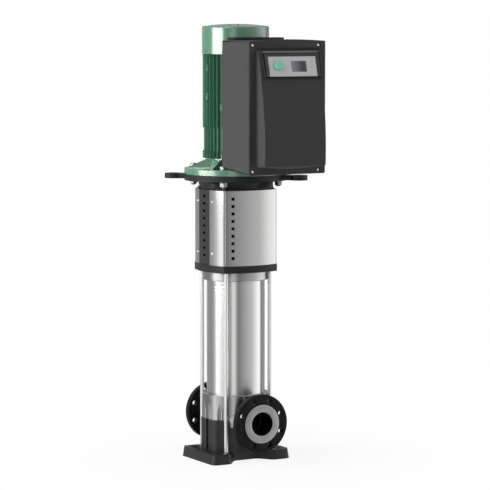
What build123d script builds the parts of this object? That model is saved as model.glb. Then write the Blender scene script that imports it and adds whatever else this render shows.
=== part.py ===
from build123d import *
import math
import os

os.makedirs("parts", exist_ok=True)

# Vertical multistage pump. Millimetres, +Z up, the pump's axis is Z and the foot stands on z = 0.
# The front nozzle points to -Y and the rear nozzle to +Y; the frequency converter hangs on the -Y side.

# General fits
running_fit = 0.08
slip_fit = 0.1
body_clearance = 0.4

# Foot casting
foot_length = 304.0
foot_width = 236.0
foot_height = 34.0
foot_corner_radius = 20.0
foot_side_lean = 9.0
foot_waist_depth = 50.0
foot_waist_floor = 90.0
foot_waist_mouth = 168.0
foot_waist_fillet = 24.0
foundation_spacing_x = 240.0
foundation_spacing_y = 170.0
foundation_hole_radius = 7.0
foundation_boss_radius = 15.0
foundation_boss_height = 2.0
foot_seat_radius = 86.0
foot_seat_height = 12.0
cradle_wall = 8.5
cradle_height = 108.0
cradle_lobe_radius = 44.0
cradle_lobe_reach = 8.0
cradle_lobe_swing = 21.0
cradle_saddle_drop = 25.0
cradle_saddle_half_width = 84.0
cradle_slot_width = 15.5
cradle_slot_iron = 2.0

# Pump casing and its nozzles
casing_radius = 115.0
casing_lower_radius = 103.0
casing_wall = 4.0
casing_shoulder_wall = 10.0
casing_top_height = 84.5
casing_rim_depth = 20.5
casing_knuckle = 12.0
casing_flute_radius = 11.0
casing_flute_height = 34.0
casing_flute_offset = 3.0
casing_flute_point = 26.0
casing_flute_angles = (8.0, 33.0)
nozzle_height = 140.0
nozzle_face_to_face = 365.0
nozzle_bore_radius = 40.5
nozzle_wall = 4.0
nozzle_socket_step = 1.5
nozzle_root_radius = 56.0
nozzle_root_length = 30.0
nozzle_root_overlap = 8.0
collar_radius = 66.0
collar_thickness = 3.0
drain_boss_radius = 15.0
drain_boss_reach = 7.0
drain_boss_angle = 237.0
drain_boss_height = 148.0
drain_plug_radius = 8.0
drain_plug_head = 10.5
drain_plug_head_height = 7.0
drain_plug_length = 9.0

# Loose flanges, DN80 PN16
flange_radius = 100.0
flange_thickness = 22.0
flange_bolt_circle = 160.0
flange_bolt_count = 8
flange_hole_radius = 9.0
flange_chamfer = 1.5

# Tie rods
rod_spacing = 170.0
rod_radius = 7.0
rod_socket_depth = 22.0
rod_groove_clearance = 1.6
rod_nut_across_flats = 22.0
rod_nut_height = 12.0
rod_washer_radius = 13.0
rod_washer_height = 2.5
rod_end_above_nut = 3.0

# Pressure shroud and head
shroud_radius = 99.75
shroud_wall = 3.0
shroud_visible_length = 391.5
head_radius = 112.5
head_height = 30.8
head_plate = 10.8
head_bore_radius = 36.0
head_chamfer = 2.0
o_ring_section_radius = 1.6
o_ring_squeeze_gap = 0.1

# Hydraulic stages
bowl_radius = 78.0
bowl_wall = 3.0
bowl_floor_height = 28.0
bowl_lip_radius = 88.0
bowl_lip_thickness = 6.0
bowl_spigot_reach = 24.0
bowl_spigot_end_gap = 0.5
bowl_top = 230.0
bowl_arm_count = 3
stage_count = 4
stage_pitch = 92.0
chamber_radius = 88.0
chamber_wall = 3.0
chamber_floor = 3.0
chamber_eye_radius = 41.0
diffuser_height = 44.0
diffuser_plate = 3.0
diffuser_radius = 76.0
diffuser_hub_radius = 21.0
diffuser_vane_count = 8
diffuser_vane_height = 14.0
diffuser_vane_gap = 8.0
diffuser_vane_sweep = 50.0
vane_thickness = 2.5
impeller_radius = 72.0
impeller_neck_radius = 40.4
impeller_neck_wall = 3.2
impeller_neck_drop = 3.0
impeller_shroud = 2.5
impeller_floor_gap = 4.0
impeller_shroud_rise = 6.0
impeller_blade_gap = 9.0
impeller_blade_sweep = -70.0
impeller_back_height = 30.0
impeller_hub_radius = 20.0
impeller_hub_rise = 8.0
impeller_blade_count = 6
sleeve_radius = 17.9
bush_length = 14.0
spacer_ring_slots = 6
spacer_ring_wall = 8.0
spacer_window_share = 0.6

# Pump shaft and its end nut
shaft_radius = 14.0
shaft_bottom = 192.0
shaft_nut_across_flats = 36.0
shaft_nut_height = 12.0

# Mechanical seal
seal_cover_radius = 56.0
seal_cover_thickness = 11.0
seal_cover_bore = 20.0
seal_seat_radius = 27.0
seal_seat_height = 12.0
seal_rotor_radius = 25.0
seal_rotor_height = 28.0
seal_rotor_step = 3.0
seal_rotor_waist = 3.0
seal_rotor_slope = 2.0
seal_screw_circle = 92.0
seal_screw_count = 4
seal_screw_radius = 4.0
seal_screw_head_radius = 6.5
seal_screw_head_height = 8.0
seal_screw_grip = 5.0

# Lantern
lantern_corner = 103.5
lantern_bulge = 22.0
lantern_plate = 24.2
lantern_bore_radius = 62.0
lantern_window_height = 255.0
lantern_leg_thickness = 12.0
lantern_leg_half_width = 60.0
lantern_channel_width = 20.0
lantern_channel_depth = 7.0
lantern_ring = 7.0
lantern_neck_radius = 128.0
lantern_neck_height = 23.0
lantern_neck_wall = 16.0
lantern_top_thickness = 20.4
lantern_neck_lip = 8.0
lug_reach = 222.0
lug_radius = 30.0
lug_thickness = 17.0
lug_hole_radius = 14.0
lug_arm_half_width = 20.0
lug_arm_root = 12.0
lug_angles = (135, 315)

# Coupling guards and the perforated side strips
guard_wall = 1.5
guard_bend_radius = 16.0
guard_inset = 1.1
guard_end_gap = 0.3
guard_opening_half_width = 36.0
guard_hole_side = 8.5
guard_hole_count = 9
guard_hole_pitch = 25.1
guard_hole_offset = 74.0
strip_half_width = 44.0
strip_hole_radius = 4.0
guard_screw_offset = 50.0
guard_screw_spacing = 175.6
guard_screw_radius = 2.5
guard_screw_head_radius = 5.0
guard_screw_head_height = 3.0
guard_screw_length = 9.0

# Coupling
coupling_radius = 44.0
coupling_flat = 2.0
coupling_length = 130.0
coupling_lift = 22.0
coupling_bolt_radius = 5.0
coupling_bolt_offset = 33.0
coupling_bolt_rows = 2
coupling_bolt_spacing = 70.0
coupling_bolt_length = 52.0
coupling_bolt_head_radius = 8.0
coupling_bolt_head_height = 10.0
coupling_chamfer = 2.0

# Motor
motor_flange_radius = 175.0
motor_flange_thickness = 20.6
motor_bolt_circle = 300.0
motor_bolt_hole_radius = 9.25
motor_spigot_radius = 125.0
motor_spigot_height = 5.0
motor_spigot_bore = 96.0
motor_bolt_radius = 8.0
motor_bolt_across_flats = 24.0
motor_bolt_head_height = 10.0
motor_nut_height = 13.0
motor_washer_radius = 15.0
motor_washer_height = 3.0
motor_bolt_end = 4.0
motor_flange_chamfer = 1.5
shield_hub_radius = 84.0
shield_hub_height = 30.0
shield_ring_radius = 111.5
shield_ring_height = 19.0
shield_rib_count = 6
shield_rib_thickness = 8.0
shield_rib_foot = 158.0
shield_rib_toe = 3.0
shield_web = 12.6
shaft_passage = 6.0
frame_radius = 99.0
frame_bore_radius = 92.0
frame_height = 338.0
fin_radius = 112.0
fin_lower_radius = 108.0
fin_thickness = 3.0
fin_count = 40
fin_free_angle = 56.0
saddle_half_width = 70.0
saddle_face = 109.0
saddle_foot_gap = 8.0
frame_boss_height = 23.0
frame_boss_width = 13.0
frame_boss_drops = (47.0, 143.0)
frame_boss_angles = (180.0, 0.0)
side_boss_drop = 178.0
side_boss_angles = (216.0, 324.0)
frame_boss_inset = 2.0
fin_trim_bottom = 5.0
fin_trim_top = 89.0
upper_shield_thickness = 16.0
motor_shaft_radius = 21.0
motor_journal_radius = 22.5
core_shaft_radius = 26.0
upper_journal_radius = 20.0
journal_lead = 4.0
core_shaft_lead = 20.0
shaft_end_inset = 2.0
fan_seat_radius = 15.0
bearing_wall = 6.0
lower_bearing_radius = 50.0
lower_bearing_height = 25.0
upper_bearing_radius = 40.0
upper_bearing_height = 14.0
core_radius = 58.0
air_gap = 0.6
core_top_gap = 62.0
core_lift = 66.0
end_ring_inset = 6.0
end_ring_width = 14.0
end_ring_height = 14.0
winding_overhang = 30.0
winding_inner_radius = 64.0
winding_outer_radius = 88.0

# Fan and fan cover
fan_cover_radius = 114.0
fan_cover_height = 103.0
fan_cover_wall = 2.0
fan_cover_shoulder = 15.0
fan_cover_slots = 16
fan_cover_slot_width = 7.0
fan_cover_slot_inner = 42.0
fan_cover_slot_outer = 88.0
fan_radius = 96.0
fan_hub_radius = 24.0
fan_plate = 3.0
fan_blade_count = 8
fan_blade_height = 26.0
fan_blade_thickness = 3.0
fan_lift = 9.0

# Frequency converter
adapter_half_width = 94.0
adapter_wall = 5.0
adapter_fin_thickness = 3.0
adapter_fin_count = 13
adapter_core_drop = 12.0
adapter_core_rise = 20.0
adapter_core_inset = 10.0
adapter_cover_gap = 2.0
adapter_lift = 2.0
adapter_rise = 52.0
converter_back = 164.0
converter_front = 347.0
converter_half_width = 144.5
converter_bottom = 995.0
converter_top = 1433.0
converter_bottom_rise = 15.0
converter_corner_radius = 5.0
converter_side_draft = 1.5
converter_wall = 4.0
converter_arch_rise = 5.0
converter_groove_height = 4.5
converter_groove_depth = 4.0
cover_rim = 8.0
panel_half_width = 121.0
panel_side_draft = 5.5
panel_top_margin = 30.0
panel_bottom_margin = 26.0
panel_bottom_sag = 9.0
panel_top_reach = 12.0
panel_middle_reach = 37.0
panel_low_reach = 53.0
panel_middle_rise = 60.0
panel_low_rise = 80.0
panel_lip_height = 4.0
panel_lip_reach = 10.0
panel_back_frame = 20.0
panel_wall = 3.5
control_width = 180.0
control_height = 67.0
control_centre_x = 3.0
control_centre_drop = 53.0
control_centre_reach = 28.5
control_tilt = 14.7
control_plate = 3.0
control_ledge = 2.0
control_frame_side = 13.0
control_frame_top = 14.0
control_frame_bottom = 1.5
control_frame_rise = 1.0
control_moat_width = 4.0
control_moat_depth = 9.0
control_rim = 1.5
control_tray_depth = 16.0
control_tray_floor = 2.0
display_edge_distance = 67.0
display_width = 57.0
display_height = 36.0
display_depth = 1.6
display_lap = 3.0
knob_edge_distance = 32.0
knob_radius = 13.5
knob_length = 15.0
knob_wall = 2.5
knob_boss_radius = 6.0
knob_travel = 1.5
knob_lift = 2.0
knob_chamfer = 1.0
encoder_radius = 3.0
encoder_body_side = 14.0
encoder_body_depth = 6.0
encoder_floor = 1.0
control_board_gap = 4.0
module_inset = 4.0
cover_screw_left = 131.0
cover_screw_right = 118.0
cover_screw_edge = 12.0
cover_screw_top_edge = 14.0
cover_screw_radius = 3.0
cover_screw_head_radius = 4.5
cover_screw_head_height = 4.0
cover_screw_pocket_depth = 5.0
cover_screw_pocket_radius = 7.0
cover_screw_length = 26.0
cover_screw_end_gap = 8.0
board_side_margin = 34.5
board_end_margin = 49.0
board_thickness = 1.6
board_standoff = 30.0
board_post_radius = 5.0
board_post_edge = 8.0
capacitor_radius = 17.0
capacitor_height = 55.0
capacitor_count = 4
capacitor_pitch = 45.0

# Levels worked out from the values above
cradle_top = foot_height + cradle_height
casing_bottom = foot_height + foot_seat_height
casing_top = cradle_top + casing_top_height
socket_floor = casing_top - casing_rim_depth
shroud_bore_radius = shroud_radius + slip_fit
head_bottom = casing_top + shroud_visible_length
head_top = head_bottom + head_height
head_socket_top = head_top - head_plate
lantern_plate_top = head_top + lantern_plate
guard_bottom = lantern_plate_top + guard_end_gap
lantern_ring_bottom = lantern_plate_top + lantern_window_height
guard_top = lantern_ring_bottom - guard_end_gap
lantern_neck_bottom = lantern_ring_bottom + lantern_ring
lantern_top_bottom = lantern_neck_bottom + lantern_neck_height
lantern_top = lantern_top_bottom + lantern_top_thickness
motor_flange_top = lantern_top + motor_flange_thickness
shield_top = motor_flange_top + shield_hub_height + shield_ring_height
frame_top = shield_top + frame_height
cover_top = frame_top + fan_cover_height
stack_top = bowl_top + stage_count * stage_pitch
rod_offset = rod_spacing / 2
rod_circle_radius = math.hypot(rod_offset, rod_offset)
rod_groove_radius = rod_radius + rod_groove_clearance
cradle_inner_radius = casing_lower_radius + body_clearance
cradle_outer_radius = cradle_inner_radius + cradle_wall
nozzle_outer_radius = nozzle_bore_radius + nozzle_wall
nozzle_socket_radius = nozzle_bore_radius + nozzle_socket_step
bowl_spigot_radius = nozzle_socket_radius - body_clearance
nozzle_face = nozzle_face_to_face / 2
flange_bore_radius = nozzle_outer_radius + body_clearance
sleeve_bore_radius = shaft_radius + slip_fit
rod_nut_bottom = lantern_plate_top + rod_washer_height
rod_top = rod_nut_bottom + rod_nut_height + rod_end_above_nut
seal_cover_top = head_top + seal_cover_thickness
coupling_bottom = lantern_plate_top + coupling_lift
coupling_top = coupling_bottom + coupling_length
coupling_middle = coupling_bottom + coupling_length / 2
cradle_slot_floor = cradle_inner_radius + cradle_slot_iron
seal_seat_bottom = head_socket_top + 2
seal_rotor_top = seal_seat_bottom - slip_fit
seal_rotor_bottom = seal_rotor_top - seal_rotor_height
leg_inset = guard_inset + 2 * guard_wall + 2 * slip_fit
lower_bearing_bottom = motor_flange_top + shield_hub_height / 2
lower_bearing_top = lower_bearing_bottom + lower_bearing_height
upper_bearing_bottom = frame_top + slip_fit
upper_bearing_top = upper_bearing_bottom + upper_bearing_height
core_bottom = shield_top + core_lift
core_top = frame_top - core_top_gap
fan_bottom = frame_top + upper_shield_thickness + fan_lift
fan_top = fan_bottom + fan_plate + fan_blade_height
adapter_bottom = shield_top + adapter_lift
adapter_top = frame_top + adapter_rise
housing_front = converter_front - cover_rim
panel_top = converter_top - panel_top_margin
panel_bottom = converter_bottom + panel_bottom_margin
control_centre_height = panel_top - control_centre_drop
board_half_width = converter_half_width - board_side_margin
board_height = converter_top - converter_bottom - 2 * board_end_margin
board_middle = (converter_bottom + converter_top) / 2
panel_middle = (panel_bottom + panel_top) / 2
panel_foot = panel_bottom - panel_bottom_sag - panel_lip_height
control_floor = -control_tray_depth + control_tray_floor
board_top = control_floor + board_thickness
display_offset = control_width / 2 - display_edge_distance
knob_offset = -control_width / 2 + knob_edge_distance
knob_bottom = knob_lift
knob_top = knob_bottom + knob_length
knob_bore_end = knob_top - knob_wall
encoder_top = knob_bore_end - knob_travel - body_clearance
encoder_body_top = board_top + encoder_body_depth
control_place = Pos(control_centre_x, -converter_front - control_centre_reach, control_centre_height)
control_place = control_place * Rot(90 - control_tilt, 0, 0)
corner_angles = (45, 135, 225, 315)


def ring(outer, inner, bottom, top):
    """Plain ring or disc about the pump's axis between two levels."""
    body = Pos(0, 0, (bottom + top) / 2) * Cylinder(outer, top - bottom)
    if inner > 0:
        body -= Pos(0, 0, (bottom + top) / 2) * Cylinder(inner, top - bottom + 2)
    return body


def turned(points):
    """Solid of revolution from (radius, height) corners."""
    outline = make_face(Polyline(*[(r, 0, z) for r, z in points], close=True))
    return revolve(outline, Axis.Z)


def hexagon(across_flats, bottom, top):
    """Hexagonal prism about the pump's axis."""
    prism = extrude(RegularPolygon(across_flats / 2, 6, major_radius=False), top - bottom)
    return Pos(0, 0, bottom) * prism


def at_polar(radius, angle, height=0.0):
    """Place on a circle about the pump's axis, turned to face outward."""
    return Rot(0, 0, angle) * Pos(radius, 0, height)


def bulged_square(corner, bulge, bend=0.0):
    """Square whose four sides bow outward by the bulge, its corners sharp or rounded to the bend."""
    sides = []
    for quarter in range(4):
        start = Vector(corner, -corner, 0).rotate(Axis.Z, 90 * quarter)
        middle = Vector(corner + bulge, 0, 0).rotate(Axis.Z, 90 * quarter)
        end = Vector(corner, corner, 0).rotate(Axis.Z, 90 * quarter)
        sides.append(ThreePointArc(start, middle, end))
    outline = make_face(sides)
    return fillet(outline.vertices(), bend) if bend else outline


def pieces(solids):
    """Group of separate solids that share one node."""
    return Compound(children=[solid for piece in solids for solid in piece.solids()])


def nozzle_cylinder(radius, reach_from, reach_to, side):
    """Cylinder on the nozzle's centre line; side is -1 for the front and +1 for the rear."""
    middle = side * (reach_from + reach_to) / 2
    return Pos(0, middle, nozzle_height) * Rot(90, 0, 0) * Cylinder(radius, reach_to - reach_from)


def foot_outline():
    """Foot seen from above: rounded rectangle drawn in at the waist under each nozzle."""
    outline = RectangleRounded(foot_length, foot_width, foot_corner_radius)
    for side in (-1, 1):
        edge = side * (foot_width / 2 + 1)
        floor = side * (foot_width / 2 - foot_waist_depth)
        notch = Polygon(
            (-foot_waist_mouth / 2, edge),
            (-foot_waist_floor / 2, floor),
            (foot_waist_floor / 2, floor),
            (foot_waist_mouth / 2, edge),
            align=None,
        )
        outline -= notch
    waist_reach = foot_waist_mouth / 2 + 1
    waist_corners = [v for v in outline.vertices() if abs(v.X) < waist_reach]
    return fillet(waist_corners, foot_waist_fillet)


def pump_foot():
    """Cast-iron foot: plate, casing seat, and the fluted cradle that carries the casing's shoulder."""
    foot = extrude(foot_outline(), foot_height, taper=foot_side_lean)
    foot += ring(foot_seat_radius, 0, foot_height - 1, casing_bottom)
    cradle = ring(cradle_outer_radius, 0, foot_height - 1, cradle_top)
    lobe_centre = cradle_outer_radius + cradle_lobe_reach - cradle_lobe_radius
    for side in (0, 180):
        for swing in (-cradle_lobe_swing, cradle_lobe_swing):
            place = at_polar(lobe_centre, side + swing, cradle_top / 2 + foot_height / 2)
            cradle += place * Cylinder(cradle_lobe_radius, cradle_top - foot_height)
        slot = Box(cradle_lobe_radius, cradle_slot_width, cradle_height + 1)
        slot_middle = foot_height + (cradle_height + 1) / 2
        cradle -= at_polar(cradle_slot_floor + cradle_lobe_radius / 2, side, slot_middle) * slot
    cradle -= ring(cradle_inner_radius, 0, casing_bottom - foot_seat_height, cradle_top + 1)
    saddle_bottom = cradle_top - cradle_saddle_drop
    saddle_height = cradle_saddle_drop + 2
    saddle = Box(2 * cradle_saddle_half_width, 3 * casing_radius, saddle_height)
    cradle -= Pos(0, 0, saddle_bottom + saddle_height / 2) * saddle
    for side in (-1, 1):
        cradle -= nozzle_cylinder(nozzle_root_radius + 2, 0, 1.5 * casing_radius, side)
    foot += cradle
    for angle in corner_angles:
        spot = Pos(
            math.copysign(foundation_spacing_x / 2, math.cos(math.radians(angle))),
            math.copysign(foundation_spacing_y / 2, math.sin(math.radians(angle))),
            0,
        )
        boss_top = foot_height + foundation_boss_height
        foot += spot * ring(foundation_boss_radius, 0, foot_height - 1, boss_top)
        foot -= spot * ring(foundation_hole_radius, 0, -1, boss_top + 1)
    for angle in corner_angles:
        place = at_polar(rod_circle_radius, angle)
        groove = ring(rod_groove_radius, 0, foot_height, cradle_top + 1)
        socket = ring(rod_radius + slip_fit, 0, foot_height - rod_socket_depth, foot_height + 1)
        foot -= place * groove
        foot -= place * socket
    return foot


def pump_casing():
    """Stainless casing: fluted bowl with two nozzles, welded collars, shroud socket and drain boss."""
    lower = casing_lower_radius
    shell = turned([
        (0, casing_bottom),
        (lower - casing_knuckle, casing_bottom),
        (lower, casing_bottom + casing_knuckle),
        (lower, cradle_top),
        (casing_radius, cradle_top),
        (casing_radius, casing_top),
        (0, casing_top),
    ])
    for side in (0, 180):
        for angle in casing_flute_angles:
            for swing in (-angle, angle):
                place = at_polar(casing_radius + casing_flute_offset, side + swing)
                flute = ring(casing_flute_radius, 0, cradle_top - 1, cradle_top + casing_flute_height)
                point = Pos(0, 0, cradle_top + casing_flute_height + casing_flute_point / 2) * Cone(
                    casing_flute_radius, 1, casing_flute_point)
                shell -= place * (flute + point)
    rod_groove = ring(rod_groove_radius, 0, cradle_top - 1, casing_top + 1)
    for angle in corner_angles:
        shell -= at_polar(rod_circle_radius, angle) * rod_groove
    for side in (-1, 1):
        shell += nozzle_cylinder(nozzle_outer_radius, 0, nozzle_face, side)
        shell += nozzle_cylinder(collar_radius, nozzle_face - collar_thickness, nozzle_face, side)
        root = Cone(nozzle_root_radius, nozzle_outer_radius, nozzle_root_length)
        root_middle = casing_lower_radius + nozzle_root_length / 2 - nozzle_root_overlap
        shell += Pos(0, side * root_middle, nozzle_height) * Rot(-90 * side, 0, 0) * root
    boss = Rot(0, 90, 0) * Cylinder(drain_boss_radius, casing_radius)
    boss_middle = casing_radius / 2 + drain_boss_reach
    shell += at_polar(boss_middle, drain_boss_angle, drain_boss_height) * boss
    inner = lower - casing_wall
    inner_floor = casing_bottom + casing_wall
    shell -= turned([
        (0, inner_floor),
        (inner - casing_knuckle, inner_floor),
        (inner, inner_floor + casing_knuckle),
        (inner, cradle_top + casing_wall),
        (casing_radius - casing_shoulder_wall, cradle_top + casing_wall),
        (casing_radius - casing_shoulder_wall, socket_floor - 2 * casing_wall),
        (shroud_radius - shroud_wall, socket_floor - casing_wall),
        (shroud_radius - shroud_wall, socket_floor),
        (shroud_bore_radius, socket_floor),
        (shroud_bore_radius, casing_top + 1),
        (0, casing_top + 1),
    ])
    socket_end = bowl_radius + bowl_spigot_reach + bowl_spigot_end_gap
    for side in (-1, 1):
        shell -= nozzle_cylinder(nozzle_bore_radius, 0, nozzle_face + 1, side)
        shell -= nozzle_cylinder(nozzle_socket_radius, 0, socket_end, side)
    groove_height = 2 * o_ring_section_radius + 2 * o_ring_squeeze_gap
    groove_middle = (socket_floor + casing_top) / 2
    groove_radius = shroud_radius + 2 * o_ring_section_radius + 2 * o_ring_squeeze_gap
    shell -= ring(groove_radius, 0, groove_middle - groove_height / 2, groove_middle + groove_height / 2)
    hole_reach = casing_radius + drain_boss_reach
    hole = Rot(0, 90, 0) * Cylinder(drain_plug_radius + slip_fit, 2 * drain_plug_length)
    shell -= at_polar(hole_reach, drain_boss_angle, drain_boss_height) * hole
    return shell


def drain_plug():
    """Hexagon-headed plug in the casing's boss."""
    seat = casing_radius + drain_boss_reach
    shank = ring(drain_plug_radius, 0, -drain_plug_length + slip_fit, 0)
    plug = shank + hexagon(2 * drain_plug_head, 0, drain_plug_head_height)
    return at_polar(seat, drain_boss_angle, drain_boss_height) * Rot(0, 90, 0) * plug


def loose_flange(side):
    """Loose ring flange that turns on its stub behind the collar."""
    blank = Cylinder(flange_radius, flange_thickness)
    blank = chamfer(blank.edges().filter_by(GeomType.CIRCLE), flange_chamfer)
    blank -= Cylinder(flange_bore_radius, flange_thickness + 2)
    step = 360 / flange_bolt_count
    for index in range(flange_bolt_count):
        place = Rot(0, 0, step * (index + 0.5)) * Pos(flange_bolt_circle / 2, 0, 0)
        blank -= place * Cylinder(flange_hole_radius, flange_thickness + 2)
    middle = nozzle_face - collar_thickness - slip_fit - flange_thickness / 2
    return Pos(0, side * middle, nozzle_height) * Rot(90, 0, 0) * blank


def tie_rods():
    """Four long rods that clamp the lantern, head and shroud down onto the casing."""
    rod = ring(rod_radius, 0, foot_height - rod_socket_depth, rod_top)
    return pieces([at_polar(rod_circle_radius, angle) * rod for angle in corner_angles])


def rod_nuts():
    """Hexagon nuts on the tie rods, with their bores."""
    nut = hexagon(rod_nut_across_flats, rod_nut_bottom, rod_nut_bottom + rod_nut_height)
    nut -= ring(rod_radius + slip_fit, 0, rod_nut_bottom - 1, rod_top)
    return pieces([at_polar(rod_circle_radius, angle) * nut for angle in corner_angles])


def rod_washers():
    """Flat washers under the tie-rod nuts."""
    washer = ring(rod_washer_radius, rod_radius + slip_fit, lantern_plate_top, rod_nut_bottom)
    return pieces([at_polar(rod_circle_radius, angle) * washer for angle in corner_angles])


def pressure_shroud():
    """Outer sleeve between the casing's socket and the head's socket."""
    return ring(shroud_radius, shroud_radius - shroud_wall, socket_floor, head_socket_top)


def shroud_o_rings():
    """Two sealing rings, square in section, at the ends of the shroud."""
    inner = shroud_radius + o_ring_squeeze_gap
    outer = inner + 2 * o_ring_section_radius
    seal = ring(outer, inner, -o_ring_section_radius, o_ring_section_radius)
    lower = (socket_floor + casing_top) / 2
    upper = (head_bottom + head_socket_top) / 2
    return pieces([Pos(0, 0, lower) * seal, Pos(0, 0, upper) * seal])


def pump_head():
    """Stainless head that caps the shroud and carries the shaft seal."""
    head = ring(head_radius, 0, head_bottom, head_top)
    head = chamfer(head.edges().group_by(Axis.Z)[0], head_chamfer)
    head -= ring(shroud_bore_radius, 0, head_bottom - 1, head_socket_top)
    head -= ring(head_bore_radius, 0, head_bottom, head_top + 1)
    groove_height = 2 * o_ring_section_radius + 2 * o_ring_squeeze_gap
    groove_middle = (head_bottom + head_socket_top) / 2
    groove_radius = shroud_radius + 2 * o_ring_section_radius + 2 * o_ring_squeeze_gap
    head -= ring(groove_radius, 0, groove_middle - groove_height / 2, groove_middle + groove_height / 2)
    for index in range(seal_screw_count):
        place = at_polar(seal_screw_circle / 2, 360 / seal_screw_count * index)
        head -= place * ring(seal_screw_radius + slip_fit, 0, head_top - seal_screw_grip, head_top + 1)
    return head


def suction_bowl():
    """Inner bowl that leads the flow from the front nozzle to the first stage."""
    floor = casing_bottom + casing_wall
    bowl = ring(bowl_radius, 0, floor, bowl_top)
    bowl += ring(bowl_lip_radius, 0, bowl_top - bowl_lip_thickness, bowl_top)
    bowl += nozzle_cylinder(bowl_spigot_radius, 0, bowl_radius + bowl_spigot_reach, -1)
    inner = bowl_radius - bowl_wall
    bowl_floor = floor + bowl_floor_height
    bowl -= ring(inner, 0, floor - 1, bowl_floor)
    bowl -= ring(inner, 0, bowl_floor + bowl_wall, bowl_top + 1)
    bore = bowl_spigot_radius - bowl_wall
    bowl -= nozzle_cylinder(bore, bowl_radius / 2, bowl_radius + bowl_spigot_reach + 1, -1)
    hub_bottom = bowl_top - bush_length - 2 * chamber_floor
    hub = ring(diffuser_hub_radius + 2 * bowl_wall, 0, hub_bottom, hub_bottom + bush_length)
    arm_reach = bowl_radius - bowl_wall / 2
    arm = Pos(arm_reach / 2, 0, hub_bottom + bush_length / 2) * Box(arm_reach, 2 * bowl_wall, bush_length)
    for index in range(bowl_arm_count):
        hub += Rot(0, 0, 90 + 360 / bowl_arm_count * index) * arm
    hub -= ring(diffuser_hub_radius, 0, hub_bottom - 1, bowl_top)
    return bowl + hub


def curved_vanes(count, inner, outer, bottom, top, sweep):
    """Thin vanes between two radii that curve back by the sweep angle."""
    middle_radius = (inner + outer) / 2
    lean = math.radians(sweep * 0.35)
    turn = math.radians(sweep)
    start = (inner, 0)
    middle = (middle_radius * math.cos(lean), middle_radius * math.sin(lean))
    end = (outer * math.cos(turn), outer * math.sin(turn))
    blade = extrude(trace(ThreePointArc(start, middle, end), vane_thickness), top - bottom)
    blade = Pos(0, 0, bottom) * blade
    return [Rot(0, 0, 360 / count * index) * blade for index in range(count)]


def stage_chamber(base):
    """Pressed stage casing with its diffuser plate and return vanes."""
    inner = chamber_radius - chamber_wall
    chamber = ring(chamber_radius, inner, base, base + stage_pitch)
    chamber += ring(inner + 1, chamber_eye_radius, base, base + chamber_floor)
    plate_top = base + diffuser_height + diffuser_plate
    chamber += ring(diffuser_radius, diffuser_hub_radius, base + diffuser_height, plate_top)
    vane_start = diffuser_hub_radius + diffuser_vane_gap
    vane_top = plate_top + diffuser_vane_height
    vanes = curved_vanes(
        diffuser_vane_count, vane_start, inner + 1, plate_top - 1, vane_top, diffuser_vane_sweep,
    )
    for vane in vanes:
        chamber += vane
    return chamber


def stage_chambers():
    """Stack of identical stage casings."""
    return pieces([stage_chamber(bowl_top + stage_pitch * index) for index in range(stage_count)])


def impeller(base):
    """Closed impeller: necked front shroud, curved blades, back shroud and hub."""
    neck_bottom = base - impeller_neck_drop
    neck_inner = impeller_neck_radius - impeller_neck_wall
    shroud_root = base + chamber_floor + impeller_floor_gap
    shroud_tip = shroud_root + impeller_shroud_rise
    back = base + impeller_back_height
    front_shroud = turned([
        (neck_inner, neck_bottom),
        (impeller_neck_radius, neck_bottom),
        (impeller_neck_radius, shroud_root),
        (impeller_radius, shroud_tip),
        (impeller_radius, shroud_tip + impeller_shroud),
        (neck_inner, shroud_root + impeller_shroud),
    ])
    wheel = ring(impeller_radius, impeller_hub_radius - 1, back, back + impeller_shroud)
    wheel += ring(impeller_hub_radius, sleeve_bore_radius, base, back + impeller_shroud + impeller_hub_rise)
    passage = turned([
        (impeller_hub_radius, shroud_root + 1),
        (neck_inner + 1, shroud_root + 1),
        (impeller_radius - 0.5, shroud_tip + 1),
        (impeller_radius - 0.5, back + 1),
        (impeller_hub_radius, back + 1),
    ])
    blade_start = impeller_hub_radius + impeller_blade_gap
    blades = curved_vanes(
        impeller_blade_count, blade_start, impeller_radius + 1, base, back + 1, impeller_blade_sweep,
    )
    wheel += front_shroud
    for blade in blades:
        wheel += blade & passage
    return wheel


def impellers():
    """One impeller in each stage."""
    return pieces([impeller(bowl_top + stage_pitch * index) for index in range(stage_count)])


def hub_top(index):
    """Level of the upper end of one impeller's hub."""
    return bowl_top + stage_pitch * index + impeller_back_height + impeller_shroud + impeller_hub_rise


def shaft_sleeves():
    """Spacer sleeves that hold the impellers apart on the shaft, from the end nut to the seal."""
    starts = [shaft_bottom + shaft_nut_height] + [hub_top(index) for index in range(stage_count)]
    ends = [bowl_top + stage_pitch * index for index in range(stage_count)] + [seal_rotor_bottom]
    return pieces([ring(sleeve_radius, sleeve_bore_radius, low, high) for low, high in zip(starts, ends)])


def guide_bushes():
    """Product-lubricated bearing bushes: one in the bowl's hub, one in a middle diffuser plate."""
    low = bowl_top - bush_length - 2 * chamber_floor
    bush = ring(diffuser_hub_radius - slip_fit, sleeve_radius + running_fit, 0, bush_length)
    middle = bowl_top + stage_pitch * (stage_count // 2) + diffuser_height
    bush_collar = diffuser_hub_radius + chamber_wall
    collar = ring(bush_collar, sleeve_radius + running_fit, diffuser_plate, 2 * diffuser_plate)
    return pieces([Pos(0, 0, low) * bush, Pos(0, 0, middle) * (bush + collar)])


def discharge_ring():
    """Slotted ring that clamps the stage stack under the head and lets the water out."""
    top = head_socket_top
    body = ring(chamber_radius, chamber_radius - spacer_ring_wall, stack_top, top)
    window_height = (top - stack_top) * spacer_window_share
    window_width = chamber_radius * math.pi / spacer_ring_slots
    window = Box(chamber_radius, window_width, window_height)
    for index in range(spacer_ring_slots):
        place = at_polar(chamber_radius, 360 / spacer_ring_slots * index, (top + stack_top) / 2)
        body -= place * window
    return body


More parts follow.
